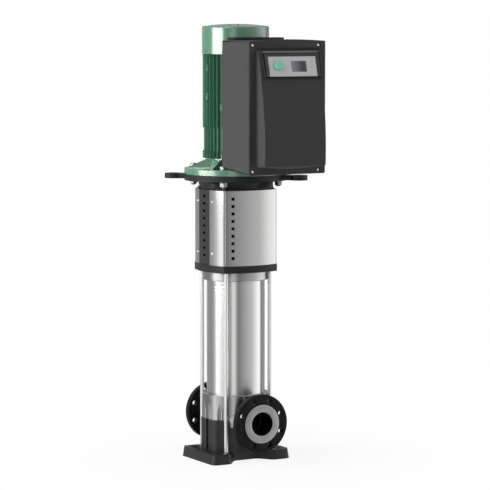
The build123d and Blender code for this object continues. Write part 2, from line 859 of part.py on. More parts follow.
def pump_shaft():
    """Shaft from the bottom bearing to the coupling."""
    return ring(shaft_radius, 0, shaft_bottom, coupling_middle - 1)


def shaft_end_nut():
    """Nut that clamps the impeller stack from below."""
    nut = hexagon(shaft_nut_across_flats, shaft_bottom, shaft_bottom + shaft_nut_height)
    return nut - ring(sleeve_bore_radius, 0, shaft_bottom - 1, shaft_bottom + shaft_nut_height + 1)


def seal_cover():
    """Screwed cover in the head's bore that carries the stationary seal seat."""
    cover = ring(head_bore_radius - slip_fit, 0, seal_seat_bottom + 1, head_top + 1)
    cover += ring(seal_cover_radius, 0, head_top, seal_cover_top)
    cover -= ring(seal_seat_radius + slip_fit, 0, seal_seat_bottom, seal_seat_bottom + seal_seat_height)
    cover -= ring(seal_cover_bore, 0, seal_seat_bottom, seal_cover_top + 1)
    for index in range(seal_screw_count):
        place = at_polar(seal_screw_circle / 2, 360 / seal_screw_count * index)
        cover -= place * ring(seal_screw_radius + slip_fit, 0, head_top - 1, seal_cover_top + 1)
    return cover


def seal_seat():
    """Stationary ring of the mechanical seal."""
    return ring(seal_seat_radius, shaft_radius + 2, seal_seat_bottom, seal_seat_bottom + seal_seat_height)


def seal_rotor():
    """Rotating head of the mechanical seal: face ring, bellows and driver."""
    middle = seal_rotor_bottom + seal_rotor_height / 2
    step = seal_rotor_radius - seal_rotor_step
    shoulder = seal_rotor_waist + seal_rotor_slope
    return turned([
        (sleeve_bore_radius, seal_rotor_bottom),
        (seal_rotor_radius, seal_rotor_bottom),
        (seal_rotor_radius, middle - shoulder),
        (step, middle - seal_rotor_waist),
        (step, middle + seal_rotor_waist),
        (seal_rotor_radius, middle + shoulder),
        (seal_rotor_radius, seal_rotor_top - seal_rotor_step),
        (step, seal_rotor_top - seal_rotor_step),
        (step, seal_rotor_top),
        (sleeve_bore_radius, seal_rotor_top),
    ])


def seal_screws():
    """Socket screws of the seal cover."""
    screw = ring(seal_screw_radius, 0, head_top - seal_screw_grip, seal_cover_top)
    screw += ring(seal_screw_head_radius, 0, seal_cover_top, seal_cover_top + seal_screw_head_height)
    places = [at_polar(seal_screw_circle / 2, 360 / seal_screw_count * i) for i in range(seal_screw_count)]
    return pieces([place * screw for place in places])


def lantern():
    """Cast lantern: bowed base plate, two legs, ring, neck, motor plate and two lifting lugs."""
    plate = extrude(bulged_square(lantern_corner, lantern_bulge), lantern_plate)
    body = Pos(0, 0, head_top) * plate
    leg_outer = bulged_square(lantern_corner - leg_inset, lantern_bulge)
    leg_inner = bulged_square(lantern_corner - leg_inset - lantern_leg_thickness, lantern_bulge)
    tube = extrude(leg_outer, lantern_window_height + 2) - extrude(leg_inner, lantern_window_height + 2)
    reach = lantern_corner + lantern_bulge
    keep = Pos(0, 0, lantern_window_height / 2) * Box(
        3 * reach, 2 * lantern_leg_half_width, 2 * lantern_window_height)
    body += Pos(0, 0, lantern_plate_top - 1) * (tube & keep)
    channel = Box(2 * lantern_channel_depth, lantern_channel_width, guard_top - guard_bottom)
    channel_reach = lantern_corner - leg_inset + lantern_bulge
    for side in (-1, 1):
        body -= Pos(side * channel_reach, 0, (guard_bottom + guard_top) / 2) * channel
    body += Pos(0, 0, lantern_ring_bottom) * extrude(
        bulged_square(lantern_corner, lantern_bulge), lantern_ring)
    body += ring(lantern_neck_radius, 0, lantern_neck_bottom - 1, lantern_top_bottom + 1)
    body += ring(motor_flange_radius, 0, lantern_top_bottom, lantern_top)
    lug_middle = lantern_top_bottom + lantern_top_thickness / 2
    arm_length = lug_reach - motor_flange_radius + lug_arm_root
    arm = Pos(-arm_length / 2, 0, 0) * Box(arm_length, 2 * lug_arm_half_width, lug_thickness)
    eye = Cylinder(lug_radius, lug_thickness)
    for angle in lug_angles:
        body += at_polar(lug_reach, angle, lug_middle) * (eye + arm)
        body -= at_polar(lug_reach, angle, lug_middle) * Cylinder(lug_hole_radius, lug_thickness + 2)
    bore = lantern_neck_radius - lantern_neck_wall
    body -= ring(lantern_bore_radius, 0, head_top - 1, lantern_plate_top + 1)
    body -= ring(bore - lantern_neck_lip, 0, lantern_ring_bottom - 1, lantern_top + 1)
    body -= ring(motor_spigot_radius + slip_fit, 0, lantern_top - motor_spigot_height - 1, lantern_top + 1)
    for angle in corner_angles:
        rod_hole = ring(rod_radius + slip_fit, 0, head_top - 1, lantern_plate_top + 1)
        body -= at_polar(rod_circle_radius, angle) * rod_hole
        bolt_hole = ring(motor_bolt_hole_radius, 0, lantern_top_bottom - 1, lantern_top + 1)
        body -= at_polar(motor_bolt_circle / 2, angle) * bolt_hole
    for place in guard_screw_places():
        hole = Pos(0, 0, -guard_screw_length / 2) * Cylinder(
            guard_screw_radius + slip_fit, guard_screw_length + 1)
        body -= place * hole
    return body


def guard_screw_places():
    """Frames of the eight guard screws: on the guard's outer face, looking outward along +/-X."""
    places = []
    corner = lantern_corner - guard_inset
    arc_radius = (corner ** 2 + lantern_bulge ** 2) / (2 * lantern_bulge)
    fall = arc_radius - math.sqrt(arc_radius ** 2 - guard_screw_offset ** 2)
    lean = math.degrees(math.asin(guard_screw_offset / arc_radius))
    middle = (guard_bottom + guard_top) / 2
    for side in (0, 180):
        for along in (-1, 1):
            for level in (-guard_screw_spacing / 2, guard_screw_spacing / 2):
                spot = Pos(corner + lantern_bulge - fall, along * guard_screw_offset, middle + level)
                places.append(Rot(0, 0, side) * spot * Rot(0, 0, along * lean) * Rot(0, 90, 0))
    return places


def guard_sheet(side):
    """Brushed coupling guard: bowed face with wings around both corners and one row of square holes."""
    corner = lantern_corner - guard_inset
    outer = bulged_square(corner, lantern_bulge, guard_bend_radius)
    inner = bulged_square(corner - guard_wall, lantern_bulge, guard_bend_radius - guard_wall)
    height = guard_top - guard_bottom
    sheet = extrude(outer, height) - extrude(inner, height)
    reach = 2 * (corner + lantern_bulge)
    keep = Pos(0, -reach / 2 - guard_opening_half_width, height / 2) * Box(2 * reach, reach, height + 2)
    sheet = sheet & keep
    for index in range(guard_hole_count):
        level = height / 2 + guard_hole_pitch * (index - (guard_hole_count - 1) / 2)
        hole = Box(guard_hole_side, 4 * lantern_bulge, guard_hole_side)
        sheet -= Pos(-guard_hole_offset, -corner - lantern_bulge, level) * hole
    sheet = Pos(0, 0, guard_bottom) * sheet
    for place in guard_screw_places():
        sheet -= place * Cylinder(guard_screw_radius + slip_fit, 4 * guard_wall)
    return Rot(0, 0, 0 if side < 0 else 180) * sheet


def side_strips():
    """Perforated strips that close the slots between the two guards."""
    outer_inset = guard_inset + guard_wall + slip_fit
    outer = bulged_square(lantern_corner - outer_inset, lantern_bulge)
    inner = bulged_square(lantern_corner - outer_inset - guard_wall, lantern_bulge)
    height = guard_top - guard_bottom
    strip = extrude(outer, height) - extrude(inner, height)
    reach = 2 * (lantern_corner + lantern_bulge)
    strip = strip & Pos(0, 0, height / 2) * Box(reach, 2 * strip_half_width, height + 2)
    for index in range(guard_hole_count):
        level = height / 2 + guard_hole_pitch * (index - (guard_hole_count - 1) / 2)
        strip -= Pos(0, 0, level) * Rot(0, 90, 0) * Cylinder(strip_hole_radius, 2 * reach)
    return pieces([Pos(0, 0, guard_bottom) * strip])


def guard_screws():
    """Button-head screws that hold the guards' wings to the lantern's legs."""
    shank = ring(guard_screw_radius, 0, -guard_screw_length + 1, 0.5)
    head = Pos(0, 0, guard_screw_head_height / 2) * Cylinder(guard_screw_head_radius, guard_screw_head_height)
    screw = shank + chamfer(head.edges().group_by(Axis.Z)[-1], guard_screw_head_height / 3)
    return pieces([place * screw for place in guard_screw_places()])


def coupling_half(side):
    """One half shell of the clamping coupling; side is -1 for the front half and +1 for the rear."""
    half = ring(coupling_radius, 0, coupling_bottom, coupling_top)
    half = chamfer(half.edges().filter_by(GeomType.CIRCLE), coupling_chamfer)
    half -= ring(shaft_radius + slip_fit, 0, coupling_bottom - 1, coupling_middle)
    half -= ring(motor_shaft_radius + slip_fit, 0, coupling_middle, coupling_top + 1)
    depth = 2 * coupling_radius
    keep = Pos(0, side * (depth / 2 + coupling_flat / 2), coupling_middle) * Box(
        2 * depth, depth, 2 * coupling_length)
    half = half & keep
    for place in coupling_bolt_places():
        half -= place * Cylinder(coupling_bolt_radius + slip_fit, 4 * coupling_radius)
        sink_reach = coupling_bolt_length / 2 - coupling_bolt_head_height
        for end in (-1, 1):
            sink = Cylinder(coupling_bolt_head_radius + slip_fit, coupling_radius)
            half -= place * Pos(0, 0, end * (sink_reach + coupling_radius / 2)) * sink
    return half


def coupling_bolt_places():
    """Axes of the coupling's cross bolts, along Y on both sides of the shaft."""
    places = []
    for row in range(coupling_bolt_rows):
        level = coupling_middle + coupling_bolt_spacing * (row - (coupling_bolt_rows - 1) / 2)
        for side in (-1, 1):
            places.append(Pos(side * coupling_bolt_offset, 0, level) * Rot(90, 0, 0))
    return places


def coupling_bolts():
    """Socket bolts that clamp the coupling halves, with heads and nuts sunk in the shells."""
    shank = Cylinder(coupling_bolt_radius, coupling_bolt_length - 2)
    reach = coupling_bolt_length / 2 - coupling_bolt_head_height / 2
    bolt = shank
    for end in (-1, 1):
        bolt += Pos(0, 0, end * reach) * Cylinder(coupling_bolt_head_radius, coupling_bolt_head_height)
    return pieces([place * bolt for place in coupling_bolt_places()])


def lower_end_shield():
    """Flanged drive-end shield of the motor: plate, spigot, hub, gusset ribs and the frame's ring."""
    flange = ring(motor_flange_radius, 0, lantern_top, motor_flange_top)
    flange = chamfer(flange.edges().filter_by(GeomType.CIRCLE), motor_flange_chamfer)
    shield = flange + ring(motor_spigot_radius, 0, lantern_top - motor_spigot_height, lantern_top + 1)
    ring_bottom = motor_flange_top + shield_hub_height
    shield += ring(shield_hub_radius, 0, motor_flange_top - 1, shield_top)
    shield += ring(shield_ring_radius, 0, ring_bottom, shield_top)
    rib_root = shield_hub_radius - shield_rib_thickness / 2
    rib_profile = make_face(Polyline(
        (rib_root, 0, motor_flange_top - 1),
        (shield_rib_foot, 0, motor_flange_top - 1),
        (shield_rib_foot, 0, motor_flange_top + shield_rib_toe),
        (shield_ring_radius - 1, 0, ring_bottom + 1),
        (rib_root, 0, ring_bottom + 1),
        close=True,
    ))
    rib = extrude(rib_profile, shield_rib_thickness / 2, both=True)
    for index in range(shield_rib_count):
        shield += Rot(0, 0, 360 / shield_rib_count * (index + 0.5)) * rib
    shield -= ring(motor_spigot_bore, 0, lantern_top - motor_spigot_height - 1, lantern_top + shield_web)
    shield -= ring(motor_shaft_radius + shaft_passage, 0, lantern_top, shield_top + 1)
    shield -= ring(lower_bearing_radius + slip_fit, 0, lower_bearing_bottom, shield_top + 1)
    for angle in corner_angles:
        hole = ring(motor_bolt_hole_radius, 0, lantern_top - 1, motor_flange_top + 1)
        shield -= at_polar(motor_bolt_circle / 2, angle) * hole
    return shield


def bearing_outer_rings():
    """Outer rings of the motor's two ball bearings."""
    lower_bore = lower_bearing_radius - bearing_wall
    upper_bore = upper_bearing_radius - bearing_wall
    lower = ring(lower_bearing_radius, lower_bore, lower_bearing_bottom, lower_bearing_top)
    upper = ring(upper_bearing_radius, upper_bore, upper_bearing_bottom, upper_bearing_top)
    return pieces([lower, upper])


def bearing_inner_rings():
    """Inner rings with their ball cages, one piece each, turning with the motor shaft."""
    lower_reach = lower_bearing_radius - bearing_wall - running_fit
    upper_reach = upper_bearing_radius - bearing_wall - running_fit
    lower_bore = motor_journal_radius + slip_fit
    upper_bore = upper_journal_radius + slip_fit
    lower = ring(lower_reach, lower_bore, lower_bearing_bottom + 1, lower_bearing_top - 1)
    upper = ring(upper_reach, upper_bore, upper_bearing_bottom + 1, upper_bearing_top - 1)
    return pieces([lower, upper])


def motor_frame():
    """Finned motor frame with the converter's saddle on the front and screw bosses on the fins."""
    body = ring(frame_radius, 0, shield_top, frame_top)
    fin_length = fin_radius - frame_bore_radius
    fin = Pos(frame_bore_radius + fin_length / 2, 0, shield_top + frame_height / 2) * Box(
        fin_length, fin_thickness, frame_height)
    step = 360 / fin_count
    for index in range(fin_count):
        angle = step * index
        from_front = abs((angle - 270 + 180) % 360 - 180)
        if 2 * from_front > fin_free_angle:
            body += Rot(0, 0, angle) * fin
    saddle_length = frame_height - saddle_foot_gap
    saddle_middle = frame_top - saddle_length / 2
    body += Pos(0, -saddle_face / 2, saddle_middle) * Box(2 * saddle_half_width, saddle_face, saddle_length)
    boss = Box(fin_length - frame_boss_inset, frame_boss_width, frame_boss_height)
    boss_reach = (fin_radius + frame_bore_radius) / 2
    for angle in frame_boss_angles:
        for drop in frame_boss_drops:
            body += at_polar(boss_reach, angle, frame_top - drop) * boss
    for angle in side_boss_angles:
        body += at_polar(boss_reach, angle, frame_top - side_boss_drop) * boss
    body -= ring(2 * fin_radius, fin_lower_radius, shield_top + fin_trim_bottom, shield_top + fin_trim_top)
    body -= ring(frame_bore_radius, 0, shield_top - 1, frame_top + 1)
    return body


def upper_end_shield():
    """Fan-end shield with the upper bearing's seat."""
    shield = ring(fin_lower_radius, 0, frame_top, frame_top + upper_shield_thickness)
    shield -= ring(upper_bearing_radius + slip_fit, 0, frame_top - 1, upper_bearing_top)
    shield -= ring(fan_seat_radius + 3, 0, frame_top, frame_top + upper_shield_thickness + 1)
    return shield


def stator_core():
    """Laminated stator pack pressed into the frame."""
    return ring(frame_bore_radius - slip_fit, core_radius + air_gap, core_bottom, core_top)


def stator_windings():
    """Copper end turns at both ends of the stator."""
    lower = ring(winding_outer_radius, winding_inner_radius, core_bottom - winding_overhang, core_bottom)
    upper = ring(winding_outer_radius, winding_inner_radius, core_top, core_top + winding_overhang)
    return pieces([lower, upper])


def rotor_core():
    """Squirrel-cage rotor pack on the motor shaft."""
    core = ring(core_radius, core_shaft_radius + slip_fit, core_bottom, core_top)
    end_ring_outer = core_radius - end_ring_inset
    for low in (core_bottom - end_ring_height, core_top):
        core += ring(end_ring_outer, end_ring_outer - end_ring_width, low, low + end_ring_height)
    return core


def motor_shaft():
    """Stepped motor shaft from the coupling to the fan."""
    return turned([
        (0, coupling_middle + 1),
        (motor_shaft_radius, coupling_middle + 1),
        (motor_shaft_radius, lower_bearing_bottom - journal_lead),
        (motor_journal_radius, lower_bearing_bottom - journal_lead),
        (motor_journal_radius, lower_bearing_top),
        (core_shaft_radius, lower_bearing_top),
        (core_shaft_radius, core_top + core_shaft_lead),
        (upper_journal_radius, core_top + core_shaft_lead),
        (upper_journal_radius, upper_bearing_top),
        (fan_seat_radius, upper_bearing_top),
        (fan_seat_radius, fan_top - shaft_end_inset),
        (0, fan_top - shaft_end_inset),
    ])


def cooling_fan():
    """Radial fan with straight blades on the motor shaft's upper end."""
    fan = ring(fan_radius, 0, fan_bottom, fan_bottom + fan_plate)
    fan += ring(fan_hub_radius, 0, fan_bottom, fan_top)
    blade_length = fan_radius - fan_hub_radius + 1
    blade = Box(blade_length, fan_blade_thickness, fan_top - fan_bottom)
    blade = Pos(fan_radius - blade_length / 2, 0, (fan_bottom + fan_top) / 2) * blade
    for index in range(fan_blade_count):
        fan += Rot(0, 0, 360 / fan_blade_count * index) * blade
    return fan - ring(fan_seat_radius + slip_fit, 0, fan_bottom - 1, fan_top + 1)


def fan_cover():
    """Pressed fan cover: drawn cup with a rounded shoulder and radial intake slots."""
    cup = ring(fan_cover_radius, 0, frame_top, cover_top)
    cup = fillet(cup.edges().group_by(Axis.Z)[-1], fan_cover_shoulder)
    inside_top = cover_top - fan_cover_wall
    inside = ring(fan_cover_radius - fan_cover_wall, 0, frame_top - fan_cover_shoulder, inside_top)
    inside = fillet(inside.edges().group_by(Axis.Z)[-1], fan_cover_shoulder - fan_cover_wall)
    cup -= inside
    slot_length = fan_cover_slot_outer - fan_cover_slot_inner
    slot = Pos(fan_cover_slot_inner + slot_length / 2, 0, cover_top) * Box(
        slot_length, fan_cover_slot_width, 4 * fan_cover_wall)
    for index in range(fan_cover_slots):
        cup -= Rot(0, 0, 360 / fan_cover_slots * index) * slot
    return cup


def motor_bolts():
    """Four flange bolts from the motor's side down through the lantern plate."""
    tip = lantern_top_bottom - motor_washer_height - motor_nut_height - motor_bolt_end
    bolt = ring(motor_bolt_radius, 0, tip, motor_flange_top + motor_washer_height + 1)
    head_bottom_level = motor_flange_top + motor_washer_height
    bolt += hexagon(motor_bolt_across_flats, head_bottom_level, head_bottom_level + motor_bolt_head_height)
    return pieces([at_polar(motor_bolt_circle / 2, angle) * bolt for angle in corner_angles])


def motor_nuts():
    """Nuts of the flange bolts, under the lantern plate."""
    top = lantern_top_bottom - motor_washer_height
    nut = hexagon(motor_bolt_across_flats, top - motor_nut_height, top)
    nut -= ring(motor_bolt_radius + slip_fit, 0, top - motor_nut_height - 1, top + 1)
    return pieces([at_polar(motor_bolt_circle / 2, angle) * nut for angle in corner_angles])


def motor_washers():
    """Washers under the flange bolts' heads and nuts."""
    washer = ring(motor_washer_radius, motor_bolt_radius + slip_fit, 0, motor_washer_height)
    washers = []
    for angle in corner_angles:
        for bottom in (lantern_top_bottom - motor_washer_height, motor_flange_top):
            washers.append(at_polar(motor_bolt_circle / 2, angle, bottom) * washer)
    return pieces(washers)


def converter_adapter():
    """Finned cooler between the motor's saddle and the converter's back."""
    depth = converter_back - saddle_face
    height = adapter_top - adapter_bottom
    middle = (adapter_top + adapter_bottom) / 2
    body = Box(2 * adapter_half_width, adapter_wall, height)
    body = Pos(0, -converter_back + adapter_wall / 2, middle) * body
    core_level = frame_top - adapter_core_drop
    core_height = core_level - adapter_bottom - adapter_core_rise
    core = Box(2 * (saddle_half_width - adapter_core_inset), depth, core_height)
    core = Pos(0, -(saddle_face + depth / 2), core_level - core_height / 2) * core
    pitch = (2 * adapter_half_width - adapter_fin_thickness) / (adapter_fin_count - 1)
    for index in range(adapter_fin_count):
        place = -adapter_half_width + adapter_fin_thickness / 2 + pitch * index
        fin = Box(adapter_fin_thickness, depth - 1, height)
        body += Pos(place, -(saddle_face + (depth + 1) / 2), middle) * fin
    body -= ring(fan_cover_radius + adapter_cover_gap, 0, adapter_bottom - 1, adapter_top + 1)
    return body + core


def box_section(half_width, bottom, top, radius, back):
    """Rounded rectangle in a plane across Y, as a section of the converter's housing."""
    height = top - bottom
    section = RectangleRounded(2 * half_width, height, radius)
    return Pos(0, -back, (top + bottom) / 2) * Rot(90, 0, 0) * section


def converter_housing():
    """Moulded box: drafted underside, open front, boss in each corner for the cover's screws."""
    back_half_width = converter_half_width - converter_side_draft
    back_bottom = converter_bottom + converter_bottom_rise
    corner = converter_corner_radius
    wall = converter_wall
    back = box_section(back_half_width, back_bottom, converter_top, corner, converter_back)
    front = box_section(converter_half_width, converter_bottom, converter_top, corner, housing_front)
    inner_back = converter_back + wall
    inner_top = converter_top - wall
    inner_half = converter_half_width - wall
    bend = corner - wall
    hollow_back = box_section(back_half_width - wall, back_bottom + wall, inner_top, bend, inner_back)
    hollow_front = box_section(inner_half, converter_bottom + wall, inner_top, bend, housing_front + 1)
    shell = loft([back, front])
    housing = shell - loft([hollow_back, hollow_front])
    boss_length = cover_screw_length
    boss = Rot(90, 0, 0) * Cylinder(cover_screw_top_edge - wall + 1, boss_length)
    hole = Rot(90, 0, 0) * Cylinder(cover_screw_radius + slip_fit, 2 * cover_screw_length)
    for x, z in cover_screw_spots():
        housing += (Pos(x, -housing_front + boss_length / 2, z) * boss) & shell
        housing -= Pos(x, -converter_front, z) * hole
    post = Rot(90, 0, 0) * Cylinder(board_post_radius, wall + board_standoff)
    post_x = board_half_width - board_post_edge
    post_z = board_height / 2 - board_post_edge
    post_y = -converter_back - (wall + board_standoff) / 2
    for across in (-post_x, post_x):
        for up in (-post_z, post_z):
            housing += Pos(across, post_y, board_middle + up) * post
    return housing


def cover_screw_spots():
    """Centres of the four cover screws in X and Z."""
    top = converter_top - cover_screw_top_edge
    bottom = converter_bottom + cover_screw_edge
    return [(x, z) for x in (-cover_screw_left, cover_screw_right) for z in (bottom, top)]


def panel_profile():
    """Side view of the raised front: reach in front of the rim against height."""
    front = -converter_front
    upper = Spline(
        (0, front - panel_top_reach, panel_top),
        (0, front - panel_middle_reach, panel_middle + panel_middle_rise),
        (0, front - panel_low_reach, panel_bottom + panel_low_rise),
        (0, front - panel_low_reach + 1, panel_bottom + panel_lip_height),
        tangents=[(0, -0.25, -1), (0, 0.05, -1)],
    )
    lip = Line(upper @ 1, (0, front - panel_lip_reach, panel_foot))
    foot_line = Line(lip @ 1, (0, front, panel_foot))
    back = Line(foot_line @ 1, (0, front, panel_top))
    top_line = Line(back @ 1, upper @ 0)
    return make_face([upper, lip, foot_line, back, top_line])


def panel_front_view():
    """Front view of the raised panel: straight sides and a bowed lower edge."""
    half = panel_half_width
    bow = ThreePointArc((-half, panel_bottom), (0, panel_bottom - panel_bottom_sag), (half, panel_bottom))
    sides = Polyline((half, panel_bottom), (half, panel_top), (-half, panel_top), (-half, panel_bottom))
    return make_face([bow, sides])


def raised_panel(inset):
    """Raised front of the cover; the inset makes the smaller form that hollows it."""
    profile = extrude(panel_profile(), panel_half_width + 1, both=True)
    outline = offset(panel_front_view(), -inset, kind=Kind.INTERSECTION) if inset else panel_front_view()
    draft = math.degrees(math.atan(panel_side_draft / panel_low_reach))
    prism = extrude(Plane.XZ * outline, panel_low_reach + 1, taper=draft)
    prism = Pos(0, -converter_front, 0) * prism
    return (Pos(0, inset, 0) * profile) & prism


def converter_cover():
    """Moulded front cover: arched rim plate and the raised, drafted panel with its control opening."""
    corner = converter_corner_radius
    rim = box_section(converter_half_width, converter_bottom, converter_top, corner, housing_front)
    arch_half = converter_half_width - corner
    arch_top = (0, converter_top + converter_arch_rise)
    arch = ThreePointArc((-arch_half, converter_top), arch_top, (arch_half, converter_top))
    chord = Line((arch_half, converter_top), (-arch_half, converter_top))
    cap = extrude(Plane.XZ * make_face([arch, chord]), cover_rim)
    cover = extrude(rim, cover_rim) + Pos(0, -housing_front, 0) * cap
    groove = Box(2 * panel_half_width, 2 * converter_groove_depth, converter_groove_height)
    cover -= Pos(0, -converter_front, panel_top + converter_groove_height / 2) * groove
    cover += raised_panel(0)
    cover -= raised_panel(panel_wall)
    opening_width = 2 * (panel_half_width - 4 * panel_wall)
    opening_height = panel_top - panel_bottom - 2 * panel_back_frame
    back_opening = Box(opening_width, cover_rim + 2, opening_height)
    cover -= Pos(0, -converter_front + cover_rim / 2, panel_middle) * back_opening
    for x, z in cover_screw_spots():
        place = Pos(x, -converter_front, z) * Rot(90, 0, 0)
        cover -= place * Cylinder(cover_screw_radius + slip_fit, 3 * cover_rim)
        cover -= place * Cylinder(cover_screw_pocket_radius, 2 * cover_screw_pocket_depth)
    border = control_moat_width + control_rim + slip_fit
    opening = control_block(
        control_frame_side + border, control_frame_top + slip_fit, control_frame_bottom + border,
        -2 * control_tray_depth, 2 * control_tray_depth)
    return cover - control_place * opening


def layer(width, height, bottom, top):
    """Rectangular layer between two levels of the control unit's own frame."""
    return Pos(0, 0, (bottom + top) / 2) * Box(width, height, top - bottom)


def control_block(side, upper, lower, bottom, top):
    """Layer that reaches past the control panel by a margin on both sides, above and below."""
    block = layer(control_width + 2 * side, control_height + upper + lower, bottom, top)
    return Pos(0, (upper - lower) / 2, 0) * block


def control_tray():
    """Black moulding of the control unit: frame around the panel, groove around the frame, ledge inside."""
    side = control_frame_side
    upper = control_frame_top
    lower = control_frame_bottom
    moat = control_moat_width
    rim = control_rim
    tray = control_block(
        side + moat + rim, upper, lower + moat + rim, -control_tray_depth, control_frame_rise)
    depth = control_moat_depth
    groove = control_block(side + moat, upper - rim, lower + moat, -depth, control_frame_rise + 1)
    groove -= control_block(side, upper, lower, -depth - 1, control_frame_rise + 2)
    tray -= groove
    fit = 2 * slip_fit
    tray -= layer(control_width + fit, control_height + fit, -control_plate, control_frame_rise + 1)
    ledge = 2 * control_ledge
    tray -= layer(control_width - ledge, control_height - ledge, control_floor, 0)
    return control_place * tray


def control_panel():
    """Light-grey panel with the display's seat and the hole for the knob's shaft."""
    panel = layer(control_width, control_height, -control_plate, 0)
    fit = 2 * slip_fit
    window = layer(display_width + fit, display_height + fit, -display_depth - slip_fit, 1)
    lap = 2 * display_lap
    sight = layer(display_width - lap, display_height - lap, -control_plate - 1, 1)
    panel -= Pos(display_offset, 0, 0) * (window + sight)
    panel -= Pos(knob_offset, 0, 0) * Cylinder(encoder_radius + body_clearance, 4 * control_plate)
    return control_place * panel


def display_window():
    """Dark glass of the display."""
    glass = layer(display_width, display_height, -display_depth - slip_fit, -slip_fit)
    return control_place * Pos(display_offset, 0, 0) * glass


def control_board():
    """Small board in the tray, with the display module and the encoder's body on it."""
    margin = 2 * (control_ledge + control_board_gap)
    board = layer(control_width - margin, control_height - margin, control_floor, board_top)
    inset = 2 * module_inset
    module = layer(display_width - inset, display_height - inset, control_floor, -control_plate - slip_fit)
    encoder = layer(encoder_body_side, encoder_body_side, control_floor, encoder_body_top)
    encoder -= ring(encoder_radius + running_fit, 0, board_top + encoder_floor, encoder_body_top + 1)
    return control_place * (board + Pos(display_offset, 0, 0) * module + Pos(knob_offset, 0, 0) * encoder)


def encoder_shaft():
    """Shaft of the rotary encoder, which turns in the encoder's body."""
    shaft = ring(encoder_radius, 0, board_top + encoder_floor + slip_fit, encoder_top)
    return control_place * Pos(knob_offset, 0, 0) * shaft


def control_knob():
    """Green cup-shaped knob that turns with the shaft and slides on it when pushed."""
    knob = ring(knob_radius, 0, knob_bottom, knob_top)
    knob = chamfer(knob.edges().filter_by(GeomType.CIRCLE).group_by(Axis.Z)[-1], knob_chamfer)
    knob -= ring(knob_radius - knob_wall, 0, knob_bottom - 1, knob_bore_end)
    knob += ring(knob_boss_radius, 0, knob_bottom + 1, knob_top - knob_wall / 2)
    knob -= ring(encoder_radius + running_fit, 0, knob_bottom - 1, knob_bore_end)
    return control_place * Pos(knob_offset, 0, 0) * knob


def cover_screws():
    """Four screws that hold the cover, heads sunk in their pockets."""
    seat = -cover_screw_pocket_depth
    screw = ring(cover_screw_radius, 0, seat - cover_screw_length + cover_screw_end_gap, seat)
    screw += ring(cover_screw_head_radius, 0, seat, seat + cover_screw_head_height)
    places = [Pos(x, -converter_front, z) * Rot(90, 0, 0) for x, z in cover_screw_spots()]
    return pieces([place * screw for place in places])


def circuit_board():
    """Power board on the housing's posts, with its row of capacitors."""
    front = converter_back + converter_wall + board_standoff
    board = Pos(0, -front - board_thickness / 2, board_middle) * Box(
        2 * board_half_width, board_thickness, board_height)
    capacitor = Rot(90, 0, 0) * Cylinder(capacitor_radius, capacitor_height)
    for index in range(capacitor_count):
        across = capacitor_pitch * (index - (capacitor_count - 1) / 2)
        board += Pos(across, -front - capacitor_height / 2, board_middle + board_height / 4) * capacitor
    return board


steps = {
    "pump_foot": pump_foot,
    "pump_casing": pump_casing,
    "drain_plug": drain_plug,
    "front_flange": lambda: loose_flange(-1),
    "rear_flange": lambda: loose_flange(1),
    "tie_rods": tie_rods,
    "tie_rod_nuts": rod_nuts,
    "tie_rod_washers": rod_washers,
    "pressure_shroud": pressure_shroud,
    "shroud_o_rings": shroud_o_rings,
    "pump_head": pump_head,
    "suction_bowl": suction_bowl,
    "stage_chambers": stage_chambers,
    "impellers": impellers,
    "shaft_sleeves": shaft_sleeves,
    "guide_bushes": guide_bushes,
    "discharge_ring": discharge_ring,
    "pump_shaft": pump_shaft,
    "shaft_end_nut": shaft_end_nut,
    "seal_cover": seal_cover,
    "seal_seat": seal_seat,
    "seal_rotor": seal_rotor,
    "seal_screws": seal_screws,
    "lantern": lantern,
    "coupling_guard_front": lambda: guard_sheet(-1),
    "coupling_guard_rear": lambda: guard_sheet(1),
    "side_strips": side_strips,
    "guard_screws": guard_screws,
    "coupling_half_front": lambda: coupling_half(-1),
    "coupling_half_rear": lambda: coupling_half(1),
    "coupling_bolts": coupling_bolts,
    "lower_end_shield": lower_end_shield,
    "bearing_outer_rings": bearing_outer_rings,
    "bearing_inner_rings": bearing_inner_rings,
    "motor_frame": motor_frame,
    "upper_end_shield": upper_end_shield,
    "stator_core": stator_core,
    "stator_windings": stator_windings,
    "rotor_core": rotor_core,
    "motor_shaft": motor_shaft,
    "cooling_fan": cooling_fan,
    "fan_cover": fan_cover,
    "motor_bolts": motor_bolts,
    "motor_nuts": motor_nuts,
    "motor_washers": motor_washers,
    "converter_adapter": converter_adapter,
    "converter_housing": converter_housing,
    "converter_cover": converter_cover,
    "cover_screws": cover_screws,
    "circuit_board": circuit_board,
    "control_tray": control_tray,
    "control_panel": control_panel,
    "display_window": display_window,
    "control_board": control_board,
    "encoder_shaft": encoder_shaft,
    "control_knob": control_knob,
}

for name, make in steps.items():
    export_step(make(), f"parts/{name}.step")
    print("wrote", name)
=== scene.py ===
import math

import bmesh
import bpy
from mathutils import Matrix, Vector


